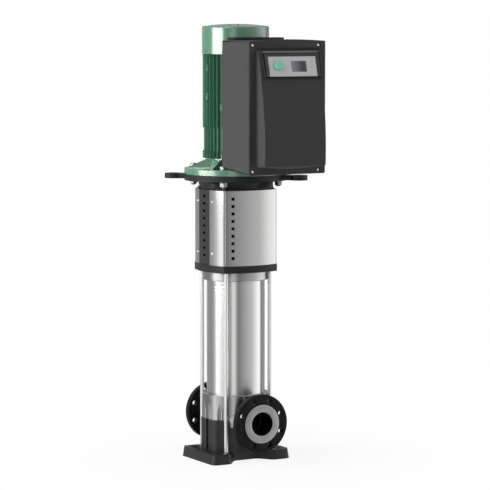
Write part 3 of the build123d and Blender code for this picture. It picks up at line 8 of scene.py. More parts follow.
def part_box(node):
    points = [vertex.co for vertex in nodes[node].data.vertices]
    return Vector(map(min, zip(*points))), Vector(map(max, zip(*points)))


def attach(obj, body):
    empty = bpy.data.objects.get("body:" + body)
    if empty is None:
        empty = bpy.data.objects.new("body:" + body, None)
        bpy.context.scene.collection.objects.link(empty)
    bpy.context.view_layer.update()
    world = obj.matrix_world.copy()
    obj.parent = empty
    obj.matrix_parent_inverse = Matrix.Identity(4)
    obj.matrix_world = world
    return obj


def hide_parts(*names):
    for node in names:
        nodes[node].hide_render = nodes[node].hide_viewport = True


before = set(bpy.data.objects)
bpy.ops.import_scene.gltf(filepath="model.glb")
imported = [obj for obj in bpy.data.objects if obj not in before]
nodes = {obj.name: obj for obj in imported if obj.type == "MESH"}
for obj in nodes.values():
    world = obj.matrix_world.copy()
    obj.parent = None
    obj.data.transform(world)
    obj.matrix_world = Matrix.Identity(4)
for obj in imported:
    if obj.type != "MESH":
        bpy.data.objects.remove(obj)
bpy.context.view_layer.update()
MM = 0.001

# Studio. A round white floor before a plain white background, with soft boxes left, right and in front.
# Three low, wide strips on the left give the enamel its highlights; metal mirrors a ring of grey cards.
# The camera stands well off with a long lens. Lengths are in metres.
view_turn = math.radians(29.42)
view_rise = math.radians(5.45)
view_distance = 8.336
aim_height = 0.7332
aim_right = 0.032
toward_camera = Vector((-math.sin(view_turn), -math.cos(view_turn), 0))
to_the_right = Vector((math.cos(view_turn), -math.sin(view_turn), 0))
aim = Vector((0, 0, aim_height)) + aim_right * to_the_right
bpy.context.scene.view_settings.view_transform = "Standard"
camera = bpy.data.objects.new("camera", bpy.data.cameras.new("camera"))
bpy.context.scene.collection.objects.link(camera)
camera.data.sensor_width = 36
camera.data.lens = 178.97
camera.data.clip_end = 60
camera.location = Vector((0, 0, aim_height)) + view_distance * (
    math.cos(view_rise) * toward_camera + math.sin(view_rise) * Vector((0, 0, 1)))
camera.rotation_euler = (aim - camera.location).to_track_quat("-Z", "Y").to_euler()
bpy.context.scene.camera = camera

# Each lamp has its swing from the camera in degrees, its distance and height, the height that it is
# aimed at, its width and tallness, its watts, and whether gloss and metal mirror it.
middle = 0.75
lamps = {
    "left_soft_box": (-82, 3.6, 1.2, middle, 1.9, 4.0, 110, False),
    "right_soft_box": (98, 3.8, 1.2, middle, 1.5, 4.0, 26, False),
    "front_soft_light": (-28, 5.5, 3.2, middle, 1.6, 1.6, 60, True),
    "upper_strip": (-64, 3.0, 1.404, 1.404, 2.2, 0.24, 17, True),
    "lower_strip": (-67, 3.0, 0.83, 0.83, 2.3, 0.09, 7.5, True),
    "lower_fill": (-58, 3.05, 0.83, 0.83, 4.6, 0.09, 1.2, True),
}
for name, (swing, distance, height, aimed_at, width, tall, watts, mirrored) in lamps.items():
    light = bpy.data.lights.new(name, "AREA")
    light.shape = "RECTANGLE"
    light.size, light.size_y = width, tall
    light.energy = watts
    lamp = bpy.data.objects.new(name, light)
    bpy.context.scene.collection.objects.link(lamp)
    heading = Matrix.Rotation(math.radians(swing), 3, "Z") @ toward_camera
    lamp.location = distance * heading + Vector((0, 0, height))
    target = Vector((0, 0, aimed_at))
    lamp.rotation_euler = (target - lamp.location).to_track_quat("-Z", "Y").to_euler()
    lamp.visible_glossy = mirrored


def add(tree, kind, inputs=None, **settings):
    """Adds one node with its settings. An input, by name or number, is a value or a socket to link."""
    node = tree.nodes.new(kind)
    for name, value in settings.items():
        setattr(node, name, value)
    for key, value in (inputs or {}).items():
        if isinstance(value, bpy.types.NodeSocket):
            tree.links.new(value, node.inputs[key])
        else:
            node.inputs[key].default_value = value
    return node


# The cards stand all round the object: each has its place and its grey. A place of 0 lies toward -X,
# 0.25 toward -Y, 0.5 toward +X and 0.75 toward +Y, and the grey runs evenly from place to place.
card_greys = [
    (0.000, 0.62), (0.056, 0.44), (0.074, 0.10), (0.112, 0.10), (0.126, 0.62), (0.156, 0.70),
    (0.172, 0.42), (0.192, 0.15), (0.235, 0.26), (0.363, 0.50), (0.421, 0.84), (0.445, 0.93),
    (0.500, 1.00), (0.525, 0.24), (0.640, 0.24), (0.720, 0.26), (0.860, 0.25), (0.885, 0.30),
    (0.905, 0.40), (0.925, 0.62), (0.942, 1.00), (0.966, 1.00), (0.980, 0.72),
]
card_strength = 1.6
card_top = 0.25
ceiling_edge = 0.8
ceiling_grey = 0.55
ambient_strength = 0.5
# Sockets of the Mix node that share their names with others, so they go by number.
factor, first_colour, second_colour, mixed_colour = 0, 6, 7, 2
white = (1, 1, 1, 1)

world = bpy.data.worlds.new("white_studio")
bpy.context.scene.world = world
world.use_nodes = True
tree = world.node_tree
tree.nodes.clear()
rays = add(tree, "ShaderNodeLightPath")
direction = add(tree, "ShaderNodeTexCoord")
split = add(tree, "ShaderNodeSeparateXYZ", {0: direction.outputs["Generated"]})
bearing = add(tree, "ShaderNodeMath", {0: split.outputs["Y"], 1: split.outputs["X"]}, operation="ARCTAN2")
place = add(tree, "ShaderNodeMapRange", {
    "Value": bearing.outputs[0], "From Min": -math.pi, "From Max": math.pi})
cards = add(tree, "ShaderNodeValToRGB", {0: place.outputs[0]})
card_stops = cards.color_ramp.elements
while len(card_stops) < len(card_greys):
    card_stops.new(0.5)
for stop, (position, grey) in zip(card_stops, card_greys):
    stop.position = position
    stop.color = (grey, grey, grey, 1)
lift = add(tree, "ShaderNodeMapRange", {
    "Value": split.outputs["Z"], "From Min": card_top, "From Max": ceiling_edge})
room = add(tree, "ShaderNodeMix", {
    factor: lift.outputs[0], first_colour: cards.outputs[0],
    second_colour: (ceiling_grey, ceiling_grey, ceiling_grey, 1)}, data_type="RGBA")
reflected = add(tree, "ShaderNodeBackground", {
    "Color": room.outputs[mixed_colour], "Strength": card_strength})
ambient = add(tree, "ShaderNodeBackground", {"Color": white, "Strength": ambient_strength})
background = add(tree, "ShaderNodeBackground", {"Color": white, "Strength": 1.0})
mirror = add(tree, "ShaderNodeMath", {
    0: rays.outputs["Is Glossy Ray"], 1: rays.outputs["Is Transmission Ray"]}, operation="MAXIMUM")
lit = add(tree, "ShaderNodeMixShader", {
    0: mirror.outputs[0], 1: ambient.outputs[0], 2: reflected.outputs[0]})
backdrop = add(tree, "ShaderNodeMixShader", {
    0: rays.outputs["Is Camera Ray"], 1: lit.outputs[0], 2: background.outputs[0]})
add(tree, "ShaderNodeOutputWorld", {"Surface": backdrop.outputs[0]})


def linear(text):
    """Linear colour of an sRGB hex value."""
    channels = [int(text[i:i + 2], 16) / 255 for i in (1, 3, 5)]
    return [c / 12.92 if c <= 0.04045 else ((c + 0.055) / 1.055) ** 2.4 for c in channels] + [1.0]


def placed(name, mesh):
    """Object of a mesh, at the origin and in the scene."""
    piece = bpy.data.objects.new(name, mesh)
    bpy.context.scene.collection.objects.link(piece)
    return piece


# Floor. A disc of matt white paper that takes the object's shadow. To the camera it brightens into the
# background away from the object; gloss and metal don't mirror it, but the cards beyond it.
floor_radius = 1.7
shadow_reach = 0.25
white_reach = 0.8
shadow_white = 0.88
paper = bpy.data.materials.new("white_paper")
paper.use_nodes = True
tree = paper.node_tree
tree.nodes.clear()
rays = add(tree, "ShaderNodeLightPath")
matt = add(tree, "ShaderNodeBsdfDiffuse", {"Color": linear("#F4F4F4")})
glow = add(tree, "ShaderNodeEmission", {"Color": white, "Strength": 1.0})
where = add(tree, "ShaderNodeTexCoord")
away = add(tree, "ShaderNodeVectorMath", {0: where.outputs["Object"]}, operation="LENGTH")
whiter = add(tree, "ShaderNodeMapRange", {
    "Value": away.outputs["Value"], "From Min": shadow_reach, "From Max": white_reach,
    "To Min": shadow_white, "To Max": 1.0})
seen_white = add(tree, "ShaderNodeMath", {
    0: rays.outputs["Is Camera Ray"], 1: whiter.outputs[0]}, operation="MULTIPLY")
sheet = add(tree, "ShaderNodeMixShader", {
    0: seen_white.outputs[0], 1: matt.outputs[0], 2: glow.outputs[0]})
unseen = add(tree, "ShaderNodeBsdfTransparent")
surface = add(tree, "ShaderNodeMixShader", {
    0: rays.outputs["Is Glossy Ray"], 1: sheet.outputs[0], 2: unseen.outputs[0]})
add(tree, "ShaderNodeOutputMaterial", {"Surface": surface.outputs[0]})
disc = bmesh.new()
bmesh.ops.create_circle(disc, cap_ends=True, segments=96, radius=floor_radius)
floor_mesh = bpy.data.meshes.new("studio_floor")
disc.to_mesh(floor_mesh)
floor_mesh.materials.append(paper)
placed("studio_floor", floor_mesh)

# Foot. Grey cast iron from a sand mould, in one piece with the fluted cradle that holds the casing.
# It is dipped in satin black primer, so its edges are soft and its faces slightly uneven.
noise_low = 0.3
noise_high = 0.7


def coated(name, colour, shade, roughness, lump, grain, depth, specular=0.25, coat=0.0):
    """Paint or plastic: two close tones over lumps, and a skin with the grain's relief. Sizes in mm.

    The real grain is too fine to show in the picture, so it is drawn as coarse as it needs to be. The
    gloss follows the lumps, whose noise keeps mostly between noise_low and noise_high.
    """
    uneven = 0.03
    material = bpy.data.materials.new(name)
    material.use_nodes = True
    tree = material.node_tree
    shader = tree.nodes["Principled BSDF"]
    shader.inputs["Specular IOR Level"].default_value = specular
    shader.inputs["Coat Weight"].default_value = coat
    shader.inputs["Coat Roughness"].default_value = 0.16
    shader.inputs["Coat IOR"].default_value = 1.9
    where = add(tree, "ShaderNodeTexCoord").outputs["Object"]
    patches = add(tree, "ShaderNodeTexNoise", {"Vector": where, "Scale": 1 / (lump * MM), "Detail": 3})
    tones = add(tree, "ShaderNodeMix", {
        factor: patches.outputs[0], first_colour: linear(colour), second_colour: linear(shade)},
        data_type="RGBA")
    tree.links.new(tones.outputs[mixed_colour], shader.inputs["Base Color"])
    gloss = add(tree, "ShaderNodeMapRange", {
        "Value": patches.outputs[0], "From Min": noise_low, "From Max": noise_high,
        "To Min": roughness - uneven, "To Max": roughness + uneven})
    tree.links.new(gloss.outputs[0], shader.inputs["Roughness"])
    grains = add(tree, "ShaderNodeTexNoise", {"Vector": where, "Scale": 1 / (grain * MM), "Detail": 2})
    relief = add(tree, "ShaderNodeBump", {
        "Height": grains.outputs[0], "Strength": 1.0, "Distance": depth * MM})
    tree.links.new(relief.outputs[0], shader.inputs["Normal"])
    return material


def baked(piece, sharp=30):
    """Applies the piece's modifiers to its mesh and shades it smooth between its sharp edges."""
    graph = bpy.context.evaluated_depsgraph_get()
    mesh = bpy.data.meshes.new_from_object(piece.evaluated_get(graph))
    piece.modifiers.clear()
    piece.data = mesh
    mesh.polygons.foreach_set("use_smooth", [True] * len(mesh.polygons))
    mesh.set_sharp_from_angle(angle=math.radians(sharp))
    return piece


def eased(piece, width, segments=3):
    """Rounds a piece's sharp edges by a width in mm."""
    sharpest = math.radians(38)
    edge = piece.modifiers.new("edge", "BEVEL")
    edge.width, edge.segments = width * MM, segments
    edge.limit_method, edge.angle_limit = "ANGLE", sharpest
    edge.miter_outer = "MITER_ARC"
    level = piece.modifiers.new("level", "WEIGHTED_NORMAL")
    level.keep_sharp = True
    return baked(piece)


def softened(node, name, width, segments=3):
    """Merged copy of a CAD node whose sharp edges are rounded by a width in mm."""
    same_point = 2e-6
    same_face = math.radians(0.5)
    shape = bmesh.new()
    shape.from_mesh(nodes[node].data)
    bmesh.ops.remove_doubles(shape, verts=shape.verts, dist=same_point)
    bmesh.ops.dissolve_limit(shape, angle_limit=same_face, verts=shape.verts, edges=shape.edges)
    mesh = bpy.data.meshes.new(name)
    shape.to_mesh(mesh)
    shape.free()
    return eased(placed(name, mesh), width, segments)


def finish(piece, body, material, slot, *replaced):
    """Gives a piece its material and its body, and hides the nodes that it stands for. The slot is not
    used.
    """
    piece.data.materials.clear()
    piece.data.materials.append(material)
    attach(piece, body)
    for node in replaced:
        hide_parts(node)
    return piece


def dress(material, *names):
    """Gives CAD nodes that keep their own mesh a finished material."""
    for name in names:
        for slot in nodes[name].material_slots:
            slot.material = material


# Satin primer over a sand-cast skin looks a dull, slightly lumpy black.
black_iron = coated("cast_iron_satin_black", "#1B1B1C", "#222223", 0.34, 24, 4.5, 0.25, specular=0.42)
foot = softened("pump_foot", "foot_casting", 2.2)
finish(foot, "pump", black_iron, "foot_iron", "pump_foot")


# Casing. Deep-drawn stainless bowl, fluted at its corners for the tie rods, with welded nozzle stubs.
# Drawing leaves its sheet bright; the plug, the head and the seal's cover are pickled to a silk grey.
def steel(name, colour, roughness, lines, relief_depth, along="Z", rubbed=0.0):
    """Steel with working lines along the given axes. Their spacing and relief are in mm.

    The real lines are too fine to show in the picture, so they lie as far apart as they need to. Rubbed
    steel blurs what it mirrors up and down.
    """
    uneven = 0.02
    line_length = 40
    quarter_turn = 0.25
    material = bpy.data.materials.new(name)
    material.use_nodes = True
    tree = material.node_tree
    shader = tree.nodes["Principled BSDF"]
    shader.inputs["Metallic"].default_value = 1.0
    shader.inputs["Base Color"].default_value = linear(colour)
    where = add(tree, "ShaderNodeTexCoord").outputs["Object"]
    stretch = [1.0 / (lines * MM)] * 3
    for axis in along:
        stretch["XYZ".index(axis)] /= line_length
    run = add(tree, "ShaderNodeMapping", {"Vector": where, "Scale": stretch})
    streaks = add(tree, "ShaderNodeTexNoise", {"Vector": run.outputs[0], "Scale": 1.0, "Detail": 2})
    gloss = add(tree, "ShaderNodeMapRange", {
        "Value": streaks.outputs[0], "From Min": noise_low, "From Max": noise_high,
        "To Min": roughness - uneven, "To Max": roughness + uneven})
    tree.links.new(gloss.outputs[0], shader.inputs["Roughness"])
    relief = add(tree, "ShaderNodeBump", {"Height": streaks.outputs[0], "Distance": relief_depth * MM})
    tree.links.new(relief.outputs[0], shader.inputs["Normal"])
    if rubbed:
        shader.inputs["Anisotropic"].default_value = rubbed
        shader.inputs["Anisotropic Rotation"].default_value = quarter_turn
        around = add(tree, "ShaderNodeTangent", direction_type="RADIAL", axis="Z")
        tree.links.new(around.outputs[0], shader.inputs["Tangent"])
    return material


pickled_steel = steel("stainless_steel_pickled", "#B0B0AF", 0.32, 5.0, 0.004, rubbed=0.8)
drawn_sheet = steel("stainless_steel_deep_drawn", "#A2A2A1", 0.24, 5.0, 0.001, rubbed=0.8)
casing = softened("pump_casing", "casing_shell", 1.2)
finish(casing, "pump", drawn_sheet, "casing_steel", "pump_casing")
dress(pickled_steel, "drain_plug", "pump_head", "seal_cover")
# The stages inside are pressed from the same steel; their colour here is painted dark, a painted shade
# for where the light doesn't reach.
wet_steel = steel("stainless_steel_shaded", "#3A3A3A", 0.45, 5.0, 0.006)
dress(wet_steel, "suction_bowl", "stage_chambers", "impellers", "discharge_ring")


# Welds that join the nozzle stubs to the bowl and to the collars. Rippled beads of the same steel,
# laid round each stub and brushed after pickling.
def skin(name, rings, looped=False):
    """Closed mesh through equal rings of points in mm: capped at both ends, or looped to the first."""
    same_point = 1e-6
    shape = bmesh.new()
    rows = [[shape.verts.new(Vector(point) * MM) for point in ring] for ring in rings]
    pairs = list(zip(rows, rows[1:]))
    if looped:
        pairs.append((rows[-1], rows[0]))
    else:
        shape.faces.new(list(reversed(rows[0])))
        shape.faces.new(rows[-1])
    for lower, upper in pairs:
        for index in range(len(lower)):
            following = (index + 1) % len(lower)
            shape.faces.new((lower[index], lower[following], upper[following], upper[index]))
    bmesh.ops.remove_doubles(shape, verts=shape.verts, dist=same_point)
    bmesh.ops.recalc_face_normals(shape, faces=shape.faces)
    mesh = bpy.data.meshes.new(name)
    shape.to_mesh(mesh)
    shape.free()
    return placed(name, mesh)


def joined(name, parts):
    """One piece out of several closed shells."""
    shape = bmesh.new()
    for part in parts:
        shape.from_mesh(part.data)
        bpy.data.objects.remove(part)
    mesh = bpy.data.meshes.new(name)
    shape.to_mesh(mesh)
    shape.free()
    return placed(name, mesh)


nozzle_height = 140.0
stub_radius = 44.5
weld_radius = 2.2
weld_hollow = 0.86
weld_reaches = (125.0, 179.5)
ripple_count = 90
weld_sides = 8
beads = []
for side in (-1, 1):
    for weld_reach in weld_reaches:
        rings = []
        for step in range(2 * ripple_count):
            turn = math.pi * step / ripple_count
            thick = weld_radius * (1.0 if step % 2 else weld_hollow)
            ring = []
            for part in range(weld_sides):
                lap = 2 * math.pi * part / weld_sides
                reach = stub_radius + thick * math.cos(lap)
                ring.append((reach * math.cos(turn), side * (weld_reach + thick * math.sin(lap)),
                             nozzle_height + reach * math.sin(turn)))
            rings.append(ring)
        beads.append(skin("bead", rings, looped=True))
welds = baked(joined("nozzle_welds", beads), sharp=60)
finish(welds, "pump", pickled_steel, "casing_steel")

# Loose flanges. Cast iron rings that turn on the stubs behind the welded collars. They are dipped in a
# duller black than the foot, which shows hardly any shine.
dipped_iron = coated("cast_iron_dipped_black", "#0C0C0D", "#121213", 0.42, 24, 4.5, 0.25, specular=0.15)
for side in ("front", "rear"):
    flange = softened(side + "_flange", side + "_ring_flange", 1.6)
    finish(flange, side + "_flange", dipped_iron, "flange_iron", side + "_flange")


# Sleeve. Stainless tube polished round its girth, so that its shine stands in upright bands, with two
# shallow rolled grooves under the head. The casing's socket and the head's socket hold its ends.
def corners_of(node):
    """Lowest and highest corner of a CAD node's box, in mm."""
    return [Vector(corner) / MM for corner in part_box(node)]


def turned(name, outline, steps=96):
    """Closed outline of radius and height in mm, turned round the Z axis."""
    rings = []
    for step in range(steps):
        turn = Matrix.Rotation(2 * math.pi * step / steps, 4, "Z")
        rings.append([turn @ Vector((radius, 0, height)) for radius, height in outline])
    return skin(name, rings, looped=True)


shroud_low, shroud_high = corners_of("pressure_shroud")
shroud_radius = shroud_high.x
shroud_bore = shroud_radius - 3.0
shroud_edge = 0.5
groove_middle = shroud_high.z - 36.0
groove_floors = ((groove_middle - 15, groove_middle - 12), (groove_middle - 4, groove_middle + 4))
groove_radius = shroud_radius - 0.5
groove_flank = 2.0
# A ring of points close below and above the grooves keeps their shading off the plain tube.
shading_stop = 1.0
shroud_line = [
    (shroud_bore, shroud_low.z), (shroud_radius - shroud_edge, shroud_low.z),
    (shroud_radius, shroud_low.z + shroud_edge),
    (shroud_radius, groove_floors[0][0] - groove_flank - shading_stop)]
for floor_low, floor_high in groove_floors:
    shroud_line += [
        (shroud_radius, floor_low - groove_flank), (groove_radius, floor_low),
        (groove_radius, floor_high), (shroud_radius, floor_high + groove_flank)]
shroud_line += [
    (shroud_radius, groove_floors[-1][1] + groove_flank + shading_stop),
    (shroud_radius, shroud_high.z - shroud_edge), (shroud_radius - shroud_edge, shroud_high.z),
    (shroud_bore, shroud_high.z)]
shroud = turned("shroud_tube", shroud_line, steps=180)
polished_steel = steel("stainless_steel_polished", "#CFCFCE", 0.24, 3.0, 0.0003, along="XY", rubbed=0.85)
finish(baked(shroud), "pump", polished_steel, "shroud_steel", "pressure_shroud")


# Tie rods with their nuts and washers. The rods are bright-drawn stainless bar that shines softly, with
# their real thread pitch of 2 mm drawn as ridges. Nuts and washers are zinc plated, which looks greyer.
def copier(name):
    """Geometry Nodes group that sets a part on each point of a mesh, turned by the point's own angles."""
    tree = bpy.data.node_groups.new(name, "GeometryNodeTree")
    tree.interface.new_socket("Geometry", in_out="INPUT", socket_type="NodeSocketGeometry")
    tree.interface.new_socket("Part", in_out="INPUT", socket_type="NodeSocketObject")
    tree.interface.new_socket("Finish", in_out="INPUT", socket_type="NodeSocketMaterial")
    tree.interface.new_socket("Geometry", in_out="OUTPUT", socket_type="NodeSocketGeometry")
    given = add(tree, "NodeGroupInput")
    part = add(tree, "GeometryNodeObjectInfo", {"Object": given.outputs["Part"]})
    angles = add(tree, "GeometryNodeInputNamedAttribute", {"Name": "turn"}, data_type="FLOAT_VECTOR")
    rotation = add(tree, "FunctionNodeEulerToRotation", {0: angles.outputs[0]})
    copies = add(tree, "GeometryNodeInstanceOnPoints", {
        "Points": given.outputs["Geometry"], "Instance": part.outputs["Geometry"],
        "Rotation": rotation.outputs[0]})
    solid = add(tree, "GeometryNodeRealizeInstances", {0: copies.outputs[0]})
    finished = add(tree, "GeometryNodeSetMaterial", {
        "Geometry": solid.outputs[0], "Material": given.outputs["Finish"]})
    add(tree, "NodeGroupOutput", {0: finished.outputs[0]})
    return tree


part_copier = copier("part_copier")


def repeated(name, part, places, material, sharp=30):
    """Copies of a part at places: each is a point in mm and the Euler angles that turn the copy."""
    mesh = bpy.data.meshes.new(name)
    mesh.from_pydata([Vector(point) * MM for point, turn in places], [], [])
    turns = mesh.attributes.new("turn", "FLOAT_VECTOR", "POINT")
    turns.data.foreach_set("vector", [angle for point, turn in places for angle in turn])
    piece = placed(name, mesh)
    copies = piece.modifiers.new("copies", "NODES")
    copies.node_group = part_copier
    for socket in part_copier.interface.items_tree:
        if socket.name == "Part":
            copies[socket.identifier] = part
        if socket.name == "Finish":
            copies[socket.identifier] = material
    baked(piece, sharp)
    bpy.data.objects.remove(part)
    return piece


def hexagonal(name, across, outline, steps=72):
    """Chamfered hexagon turned from an outline of radius, height and the way that its corners drop.

    A radius given as None follows the hexagon's flats, and "flat" is the circle inside its chamfer.
    """
    chamfer = math.radians(30)
    chamfer_start = 0.97
    flat = chamfer_start * across / 2
    rings = []
    for step in range(steps):
        angle = 2 * math.pi * step / steps
        corner = across / 2 / math.cos(angle % (math.pi / 3) - math.pi / 6)
        drop = (corner - flat) * math.tan(chamfer)
        ring = []
        for radius, height, way in outline:
            reach = corner if radius is None else flat if radius == "flat" else radius
            ring.append((reach * math.cos(angle), reach * math.sin(angle), height + way * drop))
        rings.append(ring)
    return skin(name, rings, looped=True)


upright = (0, 0, 0)
rod_offset = 85.0
rod_radius = 7.0
rod_point = 1.0
thread_pitch = 2.0
thread_turns = 12
crest_depth = 0.1
root_depth = 0.9
rod_low, rod_high = corners_of("tie_rods")
rod_line = [(0, rod_low.z), (rod_radius - rod_point, rod_low.z), (rod_radius, rod_low.z + rod_point)]
for turn in range(thread_turns):
    ridge = rod_high.z - rod_point - thread_pitch * (thread_turns - turn)
    rod_line += [(rod_radius - crest_depth, ridge), (rod_radius - root_depth, ridge + thread_pitch / 2)]
rod_line += [
    (rod_radius - crest_depth, rod_high.z - rod_point), (rod_radius - rod_point, rod_high.z),
    (0, rod_high.z)]
drawn_steel = steel("stainless_steel_bright_drawn", "#EEEEEC", 0.4, 2.0, 0.0006)
zinc_steel = steel("steel_zinc_plated", "#929394", 0.34, 3.0, 0.004)
rod_places = [((x, y, 0), upright) for x in (-rod_offset, rod_offset) for y in (-rod_offset, rod_offset)]
rods = repeated("tie_rods_drawn", turned("rod", rod_line, steps=40), rod_places, drawn_steel)
finish(rods, "pump", drawn_steel, "rod_steel", "tie_rods")


def nut_outline(low, high, bore):
    """Outline of a hexagon nut between two levels, with its bore countersunk at both faces."""
    sink = 1.0
    mouth = bore + 1.2
    return [
        (bore, low + sink, 0), (mouth, low, 0), ("flat", low, 0), (None, low, 1),
        (None, high, -1), ("flat", high, 0), (mouth, high, 0), (bore, high - sink, 0)]


nut_low, nut_high = corners_of("tie_rod_nuts")
nut = hexagonal("nut", 22.0, nut_outline(nut_low.z, nut_high.z, rod_radius))
nuts = repeated("tie_rod_hex_nuts", nut, rod_places, zinc_steel)
finish(nuts, "pump", zinc_steel, "fastener_steel", "tie_rod_nuts")
washer_low, washer_high = corners_of("tie_rod_washers")
washer_radius = 13.0
washer_edge = 0.4
washer = turned("washer", [
    (rod_radius, washer_low.z), (washer_radius - washer_edge, washer_low.z),
    (washer_radius, washer_low.z + washer_edge), (washer_radius, washer_high.z - washer_edge),
    (washer_radius - washer_edge, washer_high.z), (rod_radius, washer_high.z)], steps=48)
washers = repeated("tie_rod_flat_washers", washer, rod_places, zinc_steel)
finish(washers, "pump", zinc_steel, "fastener_steel", "tie_rod_washers")

# Shaft, coupling and bearings, turned from steel bar and ground. The coupling's two halves clamp both
# shafts with zinc-plated bolts. The guards and the motor hide them all.
ground_steel = steel("steel_ground", "#B0B0AE", 0.25, 2.0, 0.001)
dress(ground_steel, "pump_shaft", "shaft_sleeves", "shaft_end_nut", "coupling_half_front",
      "coupling_half_rear", "bearing_outer_rings", "bearing_inner_rings", "motor_shaft", "encoder_shaft")
dress(zinc_steel, "seal_screws", "coupling_bolts")

# Seals and bushes. The sleeve's sealing rings and the seal's turning head are moulded rubber, dull black.
# The seal's seat and the guide bushes are sintered silicon carbide, ground to a dark gloss.
seal_rubber = coated("epdm_rubber", "#191919", "#202020", 0.6, 8, 2, 0.05)
carbide = coated("silicon_carbide_ground", "#2E2F33", "#383A3E", 0.3, 6, 2, 0.02)
dress(seal_rubber, "shroud_o_rings", "seal_rotor")
dress(carbide, "guide_bushes", "seal_seat")

# Lantern. Grey iron casting that carries the motor over the coupling, painted satin dark grey.
# Right above the guards it is drawn in, which leaves a dark gap over their edge.
lantern_iron = coated("cast_iron_dark_grey", "#1F1F20", "#262627", 0.4, 30, 4.5, 0.2, specular=0.22)
lantern = softened("lantern", "lantern_casting", 1.5)
guard_low, guard_high = corners_of("coupling_guard_front")
undercut = 0.92
undercut_low = guard_high.z - 0.5
undercut_high = guard_high.z + 8.5
undercut_reach = 95.0
for vertex in lantern.data.vertices:
    outside = vertex.co.xy.length > undercut_reach * MM
    if outside and undercut_low < vertex.co.z / MM < undercut_high:
        vertex.co.x *= undercut
        vertex.co.y *= undercut
finish(lantern, "pump", lantern_iron, "lantern_iron", "lantern")

# Lobes of the neck beside the flange bolts. They are cast with the lantern, as low round pads with a
# small chamfer, and painted with it.
lobe_low = guard_high.z + 8.0
lobe_high = lobe_low + 19.0
lobe_radius = 36.0
lobe_edge = 2.0
lobe_reach = 108.0
lobe_start = 208
lobe = turned("lobe", [
    (0, lobe_low), (lobe_radius - lobe_edge, lobe_low), (lobe_radius, lobe_low + lobe_edge),
    (lobe_radius, lobe_high - lobe_edge), (lobe_radius - lobe_edge, lobe_high), (0, lobe_high)], steps=64)
lobe_places = []
for quarter in range(4):
    angle = math.radians(lobe_start + 90 * quarter)
    lobe_places.append(((lobe_reach * math.cos(angle), lobe_reach * math.sin(angle), 0), upright))
lobes = repeated("lantern_lobes", lobe, lobe_places, lantern_iron)
finish(lobes, "pump", lantern_iron, "lantern_iron")

# Coupling guards. Stainless sheet with a row of square holes, bent round the lantern into a bulged face,
# two bends and two wings, all on arcs. It is brushed lengthways, so it mirrors in upright bands.
guard_corner = 102.4
guard_bulge = 22.0
guard_bend = 16.0
guard_wall = 1.5
guard_opening = 36.0
guard_middle = (guard_low.z + guard_high.z) / 2
hole_offset = 74.0
hole_side = 10.2
hole_pitch = 25.1
hole_rows = range(-4, 5)
arc_radius = (guard_corner ** 2 + guard_bulge ** 2) / (2 * guard_bulge)
arc_centre = arc_radius - guard_corner - guard_bulge
bend_centre = (math.sqrt(2 * (arc_radius - guard_bend) ** 2 - arc_centre ** 2) - arc_centre) / 2
bend_angle = math.atan2(bend_centre, arc_centre + bend_centre)
wing_angle = math.asin(guard_opening / arc_radius)
wing_steps = 6
bend_steps = 10
# Each station is an arc's centre, its radius and the angle along it.
side_stations = []
for step in range(wing_steps + 1):
    turn = wing_angle + (bend_angle - wing_angle) * step / wing_steps
    side_stations.append((arc_centre, 0, arc_radius, math.pi + turn))
for step in range(1, bend_steps):
    turn = bend_angle + (math.pi / 2 - 2 * bend_angle) * step / bend_steps
    side_stations.append((-bend_centre, -bend_centre, guard_bend, math.pi + turn))
face_half = 90.2
hole_margin = 7.0
half_offsets = (7.0, 22.0, 37.0, 52.0, hole_offset - hole_margin, hole_offset + hole_margin, face_half)
face_stations = []
for offset in [-offset for offset in reversed(half_offsets)] + list(half_offsets):
    face_stations.append((0, arc_centre, arc_radius, 1.5 * math.pi + math.asin(offset / arc_radius)))
other_side = [(-x, y, radius, math.pi - turn) for x, y, radius, turn in reversed(side_stations)]
guard_stations = side_stations + face_stations + other_side
brushed_steel = steel("stainless_steel_brushed", "#C2C2C1", 0.1, 4.0, 0.0006)


def bent_sheet(name, stations, wall, low, high, spin):
    """Sheet of a wall's thickness through stations on arcs, between two levels, spun round the Z axis."""
    rings = []
    for x, y, radius, turn in stations:
        inner = radius - wall
        rings.append([spin @ Vector((x + reach * math.cos(turn), y + reach * math.sin(turn), level))
                      for reach, level in ((radius, low), (radius, high), (inner, high), (inner, low))])
    return skin(name, rings)


def punched(piece, punches):
    """Cuts the shape of the punches out of a piece."""
    holes = piece.modifiers.new("holes", "BOOLEAN")
    holes.object = punches
    baked(piece)
    bpy.data.objects.remove(punches)
    return piece


punch_reach = 15.0
punch_middle = guard_corner + 14.0
square = [(-1, -1), (1, -1), (1, 1), (-1, 1)]
for side, facing in (("front", 0.0), ("rear", math.pi)):
    spin = Matrix.Rotation(facing, 3, "Z")
    guard = bent_sheet(side + "_guard_sheet", guard_stations, guard_wall, guard_low.z, guard_high.z, spin)
    punch = skin("punch", [[(x * hole_side / 2, y, z * hole_side / 2) for x, z in square]
                           for y in (-punch_reach, punch_reach)])
    hole_places = []
    for row in hole_rows:
        hole = Vector((-hole_offset, -punch_middle, guard_middle + row * hole_pitch))
        hole_places.append((spin @ hole, upright))
    punched(guard, repeated("punches", punch, hole_places, brushed_steel))
    finish(guard, "pump", brushed_steel, "guard_steel", "coupling_guard_" + side)

